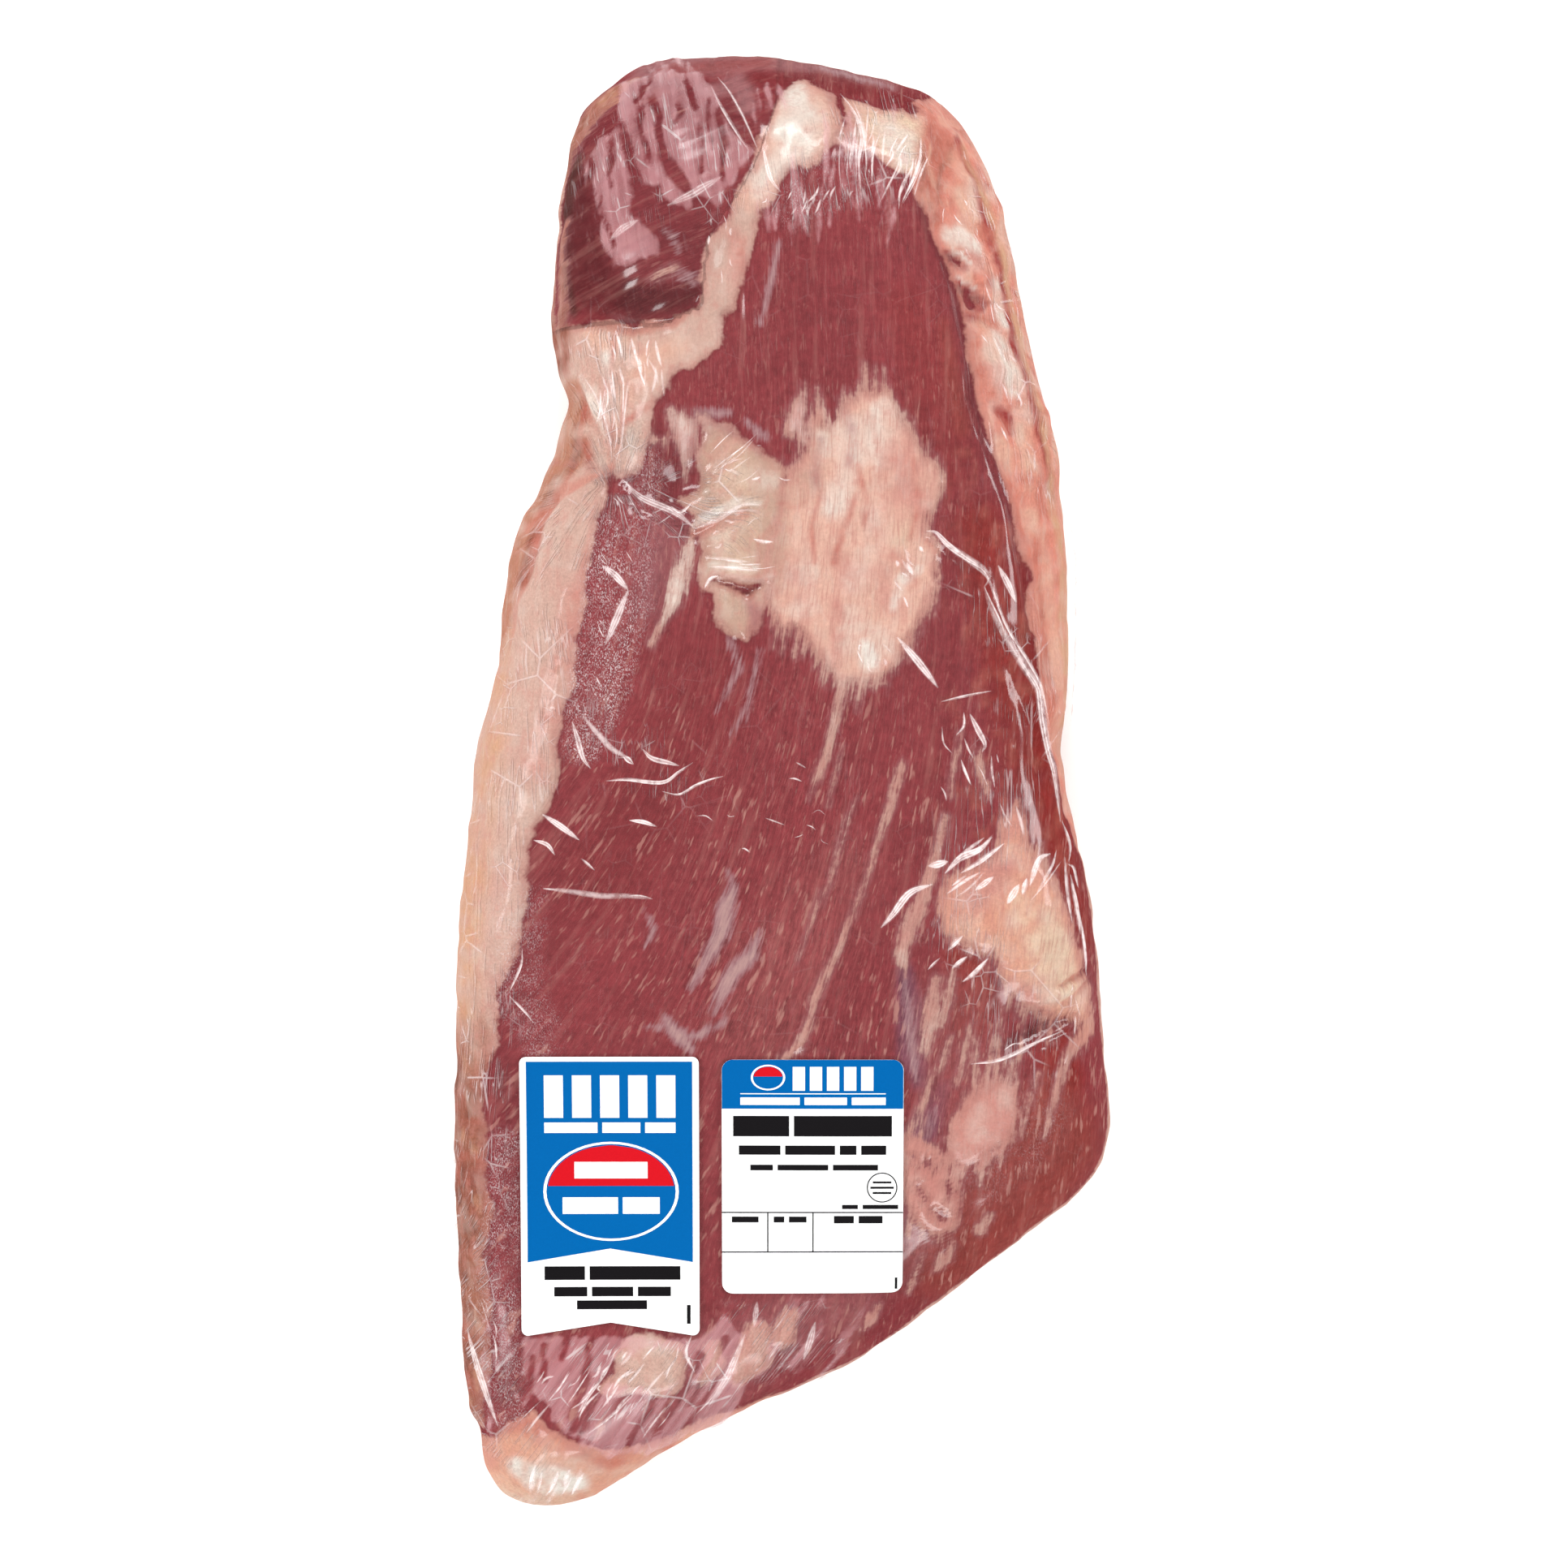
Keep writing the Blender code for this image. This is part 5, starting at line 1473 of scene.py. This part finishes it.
def fat_finish(wires, place, edge, strands):
    """Fat: creamy and blushing clouds, crisper where it is wrinkled, and rosy where it runs out.

    Fat that frays along the fibres is drawn out along them too.
    """
    fray = wires.value("fray")
    broad = wires.noise(place, 85.0, 3.0, 0.5)
    mottle = wires.noise(place, 210.0, 4.0, 0.65)
    fine = wires.noise(place, 900.0, 2.0, 0.6)
    grit = wires.swing(wires.noise(place, 1300.0, 2.0, 0.7), 0.9)
    drawn_out = wires.product(wires.swing(strands, 0.38), fray)
    crisp = wires.product(grit, wires.value("wrinkle"))
    shade = wires.total(
        wires.swing(mottle, 0.35), wires.swing(fine, 0.35), 1.08, drawn_out, crisp
    )
    fat = wires.shaded(wires.colour("fat_colour"), shade)
    fat = wires.mix(wires.ramp(broad, 0.5, 0.68, 0.0, 0.2), fat, TONES["cream"])
    fat = wires.mix(wires.ramp(mottle, 0.5, 0.68, 0.0, 0.36), fat, TONES["blush"])
    veined = wires.product(wires.ramp(strands, 0.5, 0.36, 0.0, 0.4), fray)
    fat = wires.mix(veined, fat, TONES["blush"])
    streaks = wires.noise(wires.stretched(place, (1.0, 0.3, 1.0)), 330.0, 4.0, 0.6, 0.4)
    fat = wires.mix(wires.ramp(streaks, 0.52, 0.68, 0.0, 0.25), fat, TONES["blush"])
    fat = wires.mix(wires.ramp(streaks, 0.48, 0.34, 0.0, 0.15), fat, TONES["cream"])
    return wires.mix(wires.ramp(edge, 0.2, 3.4, 0.45, 0.0), fat, TONES["rim"])


def meat_material():
    """Lean and fat, which meet where the depth of fat and a noise cross 0.

    The noise is wavy along plain edges and drawn out along the fibres on frayed ones.
    """
    material, wires, shader = new_material(
        "raw_meat", Roughness=0.6, Specular_IOR_Level=0.0, Coat_Roughness=0.15
    )
    place = wires.object_place()
    sway = wires.maths("MULTIPLY_ADD", wires.noise(place, 60.0, 1.0), 1.4, wires.value("across"))
    fibre = wires.place(sway, wires.product(wires.value("along"), 0.07))
    strands = wires.noise(fibre, 1.5, 3.0, 0.65)
    bundles = wires.noise(fibre, 0.33, 2.0, 0.6)
    lobes = wires.noise(place, 330.0, 2.0, 0.6)
    fray = wires.value("fray")
    frayed = wires.total(wires.swing(bundles, 4.4), wires.swing(strands, 3.8))
    waves = wires.swing(wires.noise(place, 130.0, 3.0, 0.6), 3.4)
    wavy = wires.total(waves, wires.swing(strands, 1.0))
    edge = wires.maths("MULTIPLY_ADD", wires.maths("SUBTRACT", frayed, wavy), fray, wavy)
    edge = wires.total(wires.value("fat"), edge, wires.swing(lobes, 2.5))
    lean = lean_finish(wires, place, fibre, strands, bundles)
    halo = wires.mix(fray, TONES["wine"], TONES["mauve"])
    lean = wires.mix(wires.ramp(edge, -2.4, -0.3, 0.0, 0.45), lean, halo)
    fat = fat_finish(wires, place, edge, strands)
    wires.put(shader.inputs["Base Color"], wires.mix(wires.ramp(edge, -0.9, 0.7), lean, fat))
    wires.put(shader.inputs["Coat Weight"], wires.value("gloss"))
    ridge = wrinkles(wires, place, wires.value("wrinkle"))
    relief = wires.maths("MULTIPLY_ADD", wires.ramp(edge, -0.8, 2.0), 1.6, strands)
    grit = wires.maths("MULTIPLY_ADD", wires.noise(place, 1500.0, 1.0), 0.25, lobes)
    relief = wires.maths("MULTIPLY_ADD", ridge, 1.6, wires.total(relief, grit))
    wires.put(shader.inputs["Normal"], wires.bump(relief, 0.2))
    return material


# The tone of the milky panels: a painted reflection of the soft lights in film that stands off the
# meat.
FILM_SHEEN = MEAT_SHADE * srgb(255, 190, 194)
# White for the crackle, and for the bag's fine ridges, where it is a painted highlight.
RIDGE_HIGHLIGHT_AND_CRACKLE = srgb(248, 234, 234)
# The white of the creases and glints is a painted highlight.
CREASE_HIGHLIGHT = srgb(255, 240, 238)


def film_material():
    """Clear film: nearly nothing where it clings, a milky painted reflection where it stands off,
    white crackle, and painted highlights on its fine ridges.
    """
    material, wires, shader = new_material("clear_film", Roughness=0.36, Specular_IOR_Level=0.5)
    place = wires.object_place()
    pleat = wires.place(wires.value("pleat"), wires.product(wires.value("rise"), 0.14))
    pleats = wires.noise(pleat, 0.34, 2.0, 0.5)
    uneven = wires.swing(wires.noise(place, 300.0, 4.0, 0.6), 1.6)
    depth = wires.total(wires.value("haze"), wires.swing(pleats, 2.4), uneven)
    # Milky where it stands off: a painted reflection of the lights.
    sheen = wires.ramp(depth, -0.6, 1.1, 0.01, 0.44)
    sheen = wires.product(sheen, wires.ramp(pleats, 0.3, 0.7, 0.65, 1.12))
    speck = wires.noise(wires.stretched(place, (1.0, 0.5, 1.0)), 2700.0, 3.0, 0.75, 0.2)
    broken = wires.ramp(wires.noise(place, 150.0, 4.0, 0.65), 0.34, 0.6, 0.3, 1.0)
    crackle = wires.ramp(speck, 0.49, 0.62, 0.0, 0.5)
    crackle = wires.product(crackle, broken, wires.value("frost"))
    # The white of the ridges is a painted highlight, laid with the crackle.
    ridge = wrinkles(wires, place, wires.product(wires.value("wrinkle"), 0.35))
    white = wires.largest(crackle, ridge)
    tone = wires.mix(wires.ramp(white, 0.0, 0.15), FILM_SHEEN, RIDGE_HIGHLIGHT_AND_CRACKLE)
    wires.put(shader.inputs["Base Color"], tone)
    wires.put(shader.inputs["Alpha"], wires.largest(sheen, white))
    normal = wires.bump(wires.noise(place, 420.0, 3.0), 0.12)
    wires.put(shader.inputs["Normal"], wires.bump(pleats, 0.7, normal))
    return material


def crease_material():
    """The sharp folds of the film: a painted highlight in white along the crest, fading to clear at
    both feet.
    """
    material, wires, shader = new_material("creased_film", Roughness=0.3, Specular_IOR_Level=0.5)
    place = wires.object_place()
    broken = wires.ramp(wires.noise(place, 420.0, 3.0, 0.6), 0.3, 0.6, 0.4, 1.0)
    wires.put(shader.inputs["Base Color"], CREASE_HIGHLIGHT)
    wires.put(shader.inputs["Alpha"], wires.product(wires.value("crest"), broken))
    return material


def toothed_material(name, rough, specular, colour=None):
    """Paper's tooth over one colour, or over the ink attribute's colours where none is given."""
    material, wires, shader = new_material(name, Roughness=rough, Specular_IOR_Level=specular)
    colour = wires.colour("ink") if colour is None else colour
    inputs = {"Place": wires.object_place(), "Colour": colour}
    tooth = wires.node("ShaderNodeGroup", inputs, node_tree=TOOTH)
    wires.put(shader.inputs["Base Color"], tooth.outputs["Colour"])
    wires.put(shader.inputs["Normal"], tooth.outputs["Normal"])
    return material


# ---- meat and bag

fat_field = fat_depth()
meat_field = meat_lift(fat_field)
haze_field = film_haze()
film_field = film_lift(meat_field, haze_field)
# The height of the bag over each place. A steep side counts as no steeper than this.
STEEPEST = 0.35
FILM_TOP = Z + film_field / np.maximum(NORMAL[..., 2], STEEPEST)

# The block has little marbling, and the flat has the most.
in_block = ease(block_inside, -2, 4)
marbling_field = (1 - 0.8 * in_block) * 0.3 + 0.56 * ease(-Y, -60, 40)
marbling_field = marbling_field + 0.4 * cloud(X, Y, 26, 81) + 0.25 * cloud(X, Y, 9, 82)
grain_field = 0.5 + 0.5 * ease(stroke(X, Y, FIBROUS), -16, 4) + 0.15 * cloud(X, Y, 14, 83)
# The bag shines most where it lies level over lean.
level = ease(NORMAL[..., 2], 0.66, 0.93)
flank = ease(np.maximum(fat_inside["left_band"], fat_inside["seam"]), -2, 2)
gloss_field = 0.03 + level * (0.55 - 0.2 * ease(fat_field, -1, 2) - 0.16 * flank)
wrinkle_field = wrinkled()

meat = closed_skin("brisket_meat", meat_field, MEAT_FOOT, {
    "fat": fat_field,
    "silver": silver_inside,
    "marbling": np.clip(marbling_field, 0.05, 1),
    "gloss": gloss_field,
    "grain": np.clip(grain_field, 0.1, 1),
    "wrinkle": wrinkle_field,
    "across": ACROSS,
    "along": ALONG,
    "fray": FRAY,
    "pleat": PLEATS,
    "rise": Y,
    "lean_colour": lean_colours(),
    "fat_colour": fat_colours(),
}, meat_material())
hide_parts("brisket")

film = closed_skin("bag_film", film_field, FILM_FOOT, {
    "haze": haze_field,
    "frost": film_frost(),
    "wrinkle": wrinkle_field,
    "pleat": PLEATS,
    "rise": Y,
}, film_material())
sheer(film)

# Places across a crease, how high its arch is for its half width, and how deep its foot is sunk.
CREST = np.linspace(-1, 1, 7)
ARCH = 0.2
SUNK = 0.9
# Half widths from which a crease has a second and a third line beside its crest.
TWO_LINES = 0.55
THREE_LINES = 0.95
# The least distance from a glint to the outline.
GLINT_MARGIN = 7.0
# Seeds: the creases' lines, the glints' places, and how brightly they shine.
LINE_SEED, GLINT_SEED, SHINE_SEED = 17, 91, 92


def crease_rings(path, half_width, strength, aside):
    """An arch carried along a path: cos^2 across, and narrowed to its ends as sqrt(sin)."""
    spine = smooth_path(path)
    share = np.linspace(0, 1, len(spine))
    taper = np.sqrt(np.sin(np.pi * np.clip(share, 0.02, 0.98)))[:, None]
    run = np.gradient(spine, axis=0)
    run /= np.linalg.norm(run, axis=1, keepdims=True)
    across = np.concatenate([CREST, [0.5, -0.5]]) * half_width * taper + aside * taper**2
    x = spine[:, :1] + run[:, 1:] * across
    y = spine[:, 1:] - run[:, :1] * across
    arch = np.cos(np.pi / 2 * CREST) ** 2 * half_width * ARCH * taper
    z = height(x, y, FILM_TOP) + np.concatenate([arch, np.full((len(spine), 2), -SUNK)], 1)
    crest = np.concatenate([np.cos(np.pi / 2 * CREST), [0, 0]]) * strength * taper
    return np.stack([x, y, z], -1), crest


def crease_strands(creases, seed):
    """Each crease as a broad faint arch with one to three sharp lines of painted highlight beside
    its crest.
    """
    random = np.random.default_rng(seed)
    strands = []
    for half_width, strength, path in creases:
        strands.append((path, 1.3 * half_width, 0.62 * strength, 0.0))
        lines = 1 + int(half_width > TWO_LINES) + int(half_width > THREE_LINES)
        for aside in random.permutation([-0.7, 0.0, 0.7])[:lines]:
            cut = random.choice(len(path) - 1, 1)[0] if len(path) > 4 else 0
            part = path[cut:] if random.random() < 0.5 else path[: len(path) - cut]
            strands.append((part, random.uniform(0.28, 0.42), strength, aside * half_width))
    return strands


def joined_creases(name, strands, material):
    """Many creases in one mesh, each a closed tube whose lower side is sunk in the meat."""
    points, crests, faces, count = [], [], [], 0
    for path, half_width, strength, aside in strands:
        rings, crest = crease_rings(path, half_width, strength, aside)
        quads, caps = tube_faces(*crest.shape)
        faces += (quads + count).tolist() + (caps + count).tolist()
        points += [rings.reshape(-1, 3), rings[[0, -1]].mean(axis=1)]
        crests += [crest.ravel(), np.zeros(2)]
        count += crest.size + 2
    crests = {"crest": np.concatenate(crests)}
    sheer(piece_of(name, np.concatenate(points), faces, crests, material))


def within_rim(points, margin):
    """Whether all the points are on the lean side, a margin or more inside the outline."""
    left, right = (np.interp(points[:, 1], ROWS[:, 0], ROWS[:, i]) for i in (1, 2))
    return bool(np.all((points[:, 0] > left + margin) & (points[:, 0] < right - margin)))


def glint_strands():
    """The scattered glints that lie well inside the outline, each with a random strength."""
    random = np.random.default_rng(SHINE_SEED)
    return [
        (path, half_width, random.uniform(0.3, 0.8), 0.0)
        for path, half_width in scattered(GLINTS, GLINT_SEED) if within_rim(path, GLINT_MARGIN)
    ]


creased = crease_material()
joined_creases("bag_creases", crease_strands(CREASES, LINE_SEED), creased)
joined_creases("bag_glints", glint_strands(), creased)


# ---- labels

BLUE = srgb(0, 94, 162)
RED = srgb(202, 20, 32)
WHITE = srgb(252, 252, 252)
BLACK = srgb(22, 20, 22)

# Steps round a label's corner, down its length and across it, and the angle of a sharp edge.
CORNER_STEPS = 6
LABEL_ROWS = 48
LABEL_COLUMNS = 37
SHARP = 0.7
# How far short of the paper's edge the ink of a header stops.
INK_MARGIN = 0.06


def label_frame(node):
    """The label's left x and top y, and its width and length, in mm, from its CAD box."""
    low, high = (np.array(corner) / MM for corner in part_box(node))
    return low[0], high[1], high[0] - low[0], high[1] - low[1]


def sheet(x, y, lift, thick):
    """A thin closed sheet over a grid of places, whose top lies lift over the skin."""
    top = np.stack([x, y, height(x, y) + lift], -1)
    foot = top - np.array([0, 0, thick])
    rows, columns = x.shape
    upper = np.arange(rows * columns).reshape(rows, columns)
    corners = [upper[:-1, :-1], upper[1:, :-1], upper[1:, 1:], upper[:-1, 1:]]
    top_faces = np.stack(corners, -1).reshape(-1, 4)
    foot_faces = top_faces[:, ::-1] + rows * columns
    rim = np.concatenate([upper[0, :-1], upper[:-1, -1], upper[-1, :0:-1], upper[:0:-1, 0]])
    below = rim + rows * columns
    wall = np.stack([rim, np.roll(rim, -1), np.roll(below, -1), below], -1)
    points = np.concatenate([top.reshape(-1, 3), foot.reshape(-1, 3)])
    return points, np.concatenate([top_faces, foot_faces, wall])


def label_paper(node, corner, notch):
    """A sheet with round corners. Its foot rises in a point by notch at the middle."""
    left, top, width, length = label_frame(node)
    turn = np.linspace(0, np.pi / 2, CORNER_STEPS)
    inset = corner * (1 - np.cos(turn))
    straight = np.linspace(corner, length - corner, LABEL_ROWS)[1:-1]
    down = np.concatenate([inset, straight, length - inset[::-1]])
    narrow = corner * (1 - np.sin(turn))
    half = width / 2 - np.concatenate([narrow, np.zeros_like(straight), narrow[::-1]])
    share = np.linspace(-1, 1, LABEL_COLUMNS)
    x = left + width / 2 + half[:, None] * share
    rise = notch * (1 - np.abs(share)) * (down[:, None] / length) ** 4
    y = top - down[:, None] + rise
    points, faces = sheet(x, y, LABEL_LIFT + PAPER, PAPER)
    piece = piece_of(node + "_paper", points, faces.tolist(), {}, PAPER_FINISH)
    piece.data.set_sharp_from_angle(angle=SHARP)
    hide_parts(node)


def bar(left, top, right, bottom, ink, layer=1, foot=0.0):
    """A printed bar, in mm from the label's top left corner. Its foot may rise to a point."""
    columns = max(int((right - left) / 2.0), 1) * 2 + 1
    rows = max(int((bottom - top) / 2.5), 1) + 1
    x, y = np.meshgrid(np.linspace(left, right, columns), np.linspace(top, bottom, rows))
    middle, half = (left + right) / 2, (right - left) / 2
    y = y - foot * (1 - np.abs(x - middle) / half) * (y - top) / (bottom - top)
    return x, y, ink, layer


def header(width, foot, corner, ink):
    """A printed field from edge to edge of a label, whose top has the label's round corners."""
    turn = np.linspace(0.15, np.pi / 2, CORNER_STEPS)
    down = np.concatenate([corner * (1 - np.cos(turn)), np.linspace(corner, foot, 7)[1:]])[:, None]
    rise = np.clip(corner - down, 0, corner)
    half = width / 2 - corner + np.sqrt(corner**2 - rise**2) - INK_MARGIN
    x = width / 2 + half * np.linspace(-1, 1, 31)
    return x, np.broadcast_to(down, x.shape), ink, 1


def oval(x, y, across, along, ink, layer, inner=0.0, low=-1.0, high=1.0):
    """An oval field cut level at low and high shares of its height, or a ring from inner to 1."""
    if inner:
        turn = np.linspace(0, 2 * np.pi, 49)
        reach = np.array([[inner], [1.0]])
        return x + across * reach * np.cos(turn), y + along * reach * np.sin(turn), ink, layer
    level = np.linspace(low, high, 17)[:, None]
    wide = np.sqrt(np.clip(1 - level**2, 0.0004, 1))
    x = x + across * wide * np.linspace(-1, 1, 17)
    return x, np.broadcast_to(y + along * level, x.shape), ink, layer


def words(left, right, top, bottom, ink, shares, layer=1, gap=1.6):
    """A line of lettering shown as plain bars, one for each word, with even gaps."""
    room = right - left - gap * (len(shares) - 1)
    bars, at = [], left
    for share in shares:
        wide = room * share / sum(shares)
        bars.append(bar(at, top, at + wide, bottom, ink, layer))
        at += wide + gap
    return bars


def grade_print():
    """A blue field with a red and white oval, and lines of lettering as bars."""
    return [
        bar(2.2, 1.6, 57.4, 69.4, BLUE, 1, 4.6),
        *words(8.1, 51.8, 6.2, 20.5, WHITE, [1, 1, 1, 1, 1], 2, 3.0),
        *words(8.1, 51.8, 22.1, 25.6, WHITE, [7, 5, 4], 2),
        oval(30.2, 45.4, 22.6, 16.8, WHITE, 2, inner=0.955),
        oval(30.2, 45.4, 21.2, 15.6, RED, 2, low=-0.999, high=-0.12),
        bar(18, 35.4, 42.4, 41, WHITE, 3),
        *words(14, 46.4, 47.4, 53, WHITE, [3, 2], 2),
        *words(7.8, 53.2, 70.8, 75.4, BLACK, [4, 9]),
        *words(11, 50, 77.8, 81, BLACK, [4, 5, 4]),
        bar(18.6, 82.4, 42, 85.4, BLACK),
        bar(55.4, 84, 56.6, 90.4, BLACK),
    ]


def price_print():
    """A blue header with an oval, a stamp, and a small table between lines of lettering."""
    return [
        header(60.4, 16.5, 3.6, BLUE),
        oval(15.4, 6, 5.7, 4.3, WHITE, 2, inner=0.88),
        oval(15.4, 6, 4.8, 3.6, RED, 2, low=-0.999, high=-0.1),
        *words(23.6, 50.4, 2.4, 10.4, WHITE, [1, 1, 1, 1, 1], 2),
        bar(6.2, 11.3, 54.5, 11.6, WHITE, 2),
        *words(6.2, 54.5, 12.7, 15.2, WHITE, [7, 5, 4], 2),
        *words(3.8, 56.6, 18.9, 25.8, BLACK, [4, 7]),
        *words(5.7, 54.7, 28.9, 32, BLACK, [5, 6, 2, 3]),
        *words(9.5, 52, 35.4, 37.3, BLACK, [4, 9, 8]),
        oval(53.4, 43.1, 5.1, 5.1, BLACK, 1, inner=0.93),
        bar(50.3, 41, 56.5, 41.7, BLACK),
        bar(49.5, 42.8, 57.3, 43.5, BLACK),
        bar(50.3, 44.6, 56.5, 45.3, BLACK),
        *words(40.1, 58.8, 49, 50.4, BLACK, [4, 9]),
        bar(0, 51.4, 60.4, 51.8, BLACK),
        bar(0, 64.9, 60.4, 65.3, BLACK),
        bar(15.1, 51.8, 15.5, 64.9, BLACK),
        bar(30.2, 51.8, 30.6, 64.9, BLACK),
        bar(3.3, 53, 12.2, 55, BLACK),
        *words(17.3, 28.2, 53, 55, BLACK, [3, 5]),
        *words(37.4, 53.6, 52.8, 55.3, BLACK, [5, 6]),
        bar(57.9, 74, 58.7, 78, BLACK),
    ]


def label_print(node, plates):
    """All the ink of a label in one mesh: each plate follows the paper, a layer above the last."""
    left, top, _, _ = label_frame(node)
    points, faces, inks, count = [], [], [], 0
    for x, y, ink, layer in plates:
        lift = LABEL_LIFT + PAPER + 2 * INK * layer
        made, joined = sheet(left + x, top - y, lift, INK)
        points.append(made)
        faces += (joined + count).tolist()
        inks.append(np.broadcast_to(ink, made.shape))
        count += len(made)
    inks = {"ink": np.concatenate(inks)}
    piece = piece_of(node + "_print", np.concatenate(points), faces, inks, INK_FINISH)
    piece.data.set_sharp_from_angle(angle=SHARP)


PAPER_FINISH = toothed_material("label_paper", 0.42, 0.3, WHITE)
INK_FINISH = toothed_material("label_ink", 0.5, 0.03)
label_paper("grade_label", 2.2, 4.4)
label_paper("price_label", 3.6, 0.0)
label_print("grade_label", grade_print())
label_print("price_label", price_print())


# ---- floor, lights and camera

# The floor's drop and the lens are in mm, and the rest in metres. Lights have a place and a power.
FLOOR_DROP = 0.5
FLOOR_REACH = 6.0
CAMERA_HEIGHT = 1.799
LENS = 120.0
SENSOR = 36.0
SOFTBOX_SIZE = 0.5
SOFTBOXES = {
    "softbox_left": ((-1.35, 0.0, 0.95), 15.0),
    "softbox_right": ((1.35, 0.0, 0.95), 12.0),
    "softbox_top": ((0.0, 1.4, 1.05), 14.0),
    "softbox_foot": ((0.0, -1.4, 1.05), 10.0),
}
WORLD_LIGHT = 0.45


def add_floor():
    """A square floor just under the brisket, which glows a little, so that it stays pale."""
    mesh = bpy.data.meshes.new("floor")
    drop = -FLOOR_DROP * MM
    corners = [(-1, -1), (1, -1), (1, 1), (-1, 1)]
    places = [(FLOOR_REACH * x, FLOOR_REACH * y, drop) for x, y in corners]
    mesh.from_pydata(places, [], [(0, 1, 2, 3)])
    material, _, _ = new_material(
        "pale_floor", Base_Color=(0.92, 0.92, 0.92, 1), Roughness=0.9, Specular_IOR_Level=0.0,
        Emission_Color=(1, 1, 1, 1), Emission_Strength=0.22,
    )
    mesh.materials.append(material)
    floor = bpy.data.objects.new("floor", mesh)
    bpy.context.scene.collection.objects.link(floor)


def add_softbox(name, place, power):
    """A square soft light that faces the brisket."""
    light = bpy.data.lights.new(name, "AREA")
    light.size = SOFTBOX_SIZE
    light.energy = power
    lamp = bpy.data.objects.new(name, light)
    lamp.location = place
    lamp.rotation_euler = (-lamp.location).to_track_quat("-Z", "Y").to_euler()
    bpy.context.scene.collection.objects.link(lamp)


def add_world():
    """An even white light from all round."""
    world = bpy.data.worlds.new("studio")
    world.use_nodes = True
    background = world.node_tree.nodes["Background"]
    background.inputs["Color"].default_value = (1, 1, 1, 1)
    background.inputs["Strength"].default_value = WORLD_LIGHT
    bpy.context.scene.world = world


def add_camera():
    """A camera straight above the middle, looking down."""
    camera = bpy.data.cameras.new("camera")
    camera.lens = LENS
    camera.sensor_width = SENSOR
    seat = bpy.data.objects.new("camera", camera)
    seat.location = (0, 0, CAMERA_HEIGHT)
    bpy.context.scene.collection.objects.link(seat)
    bpy.context.scene.camera = seat


add_floor()
for name, (place, power) in SOFTBOXES.items():
    add_softbox(name, place, power)
add_world()
bpy.context.scene.view_settings.view_transform = "Standard"
add_camera()
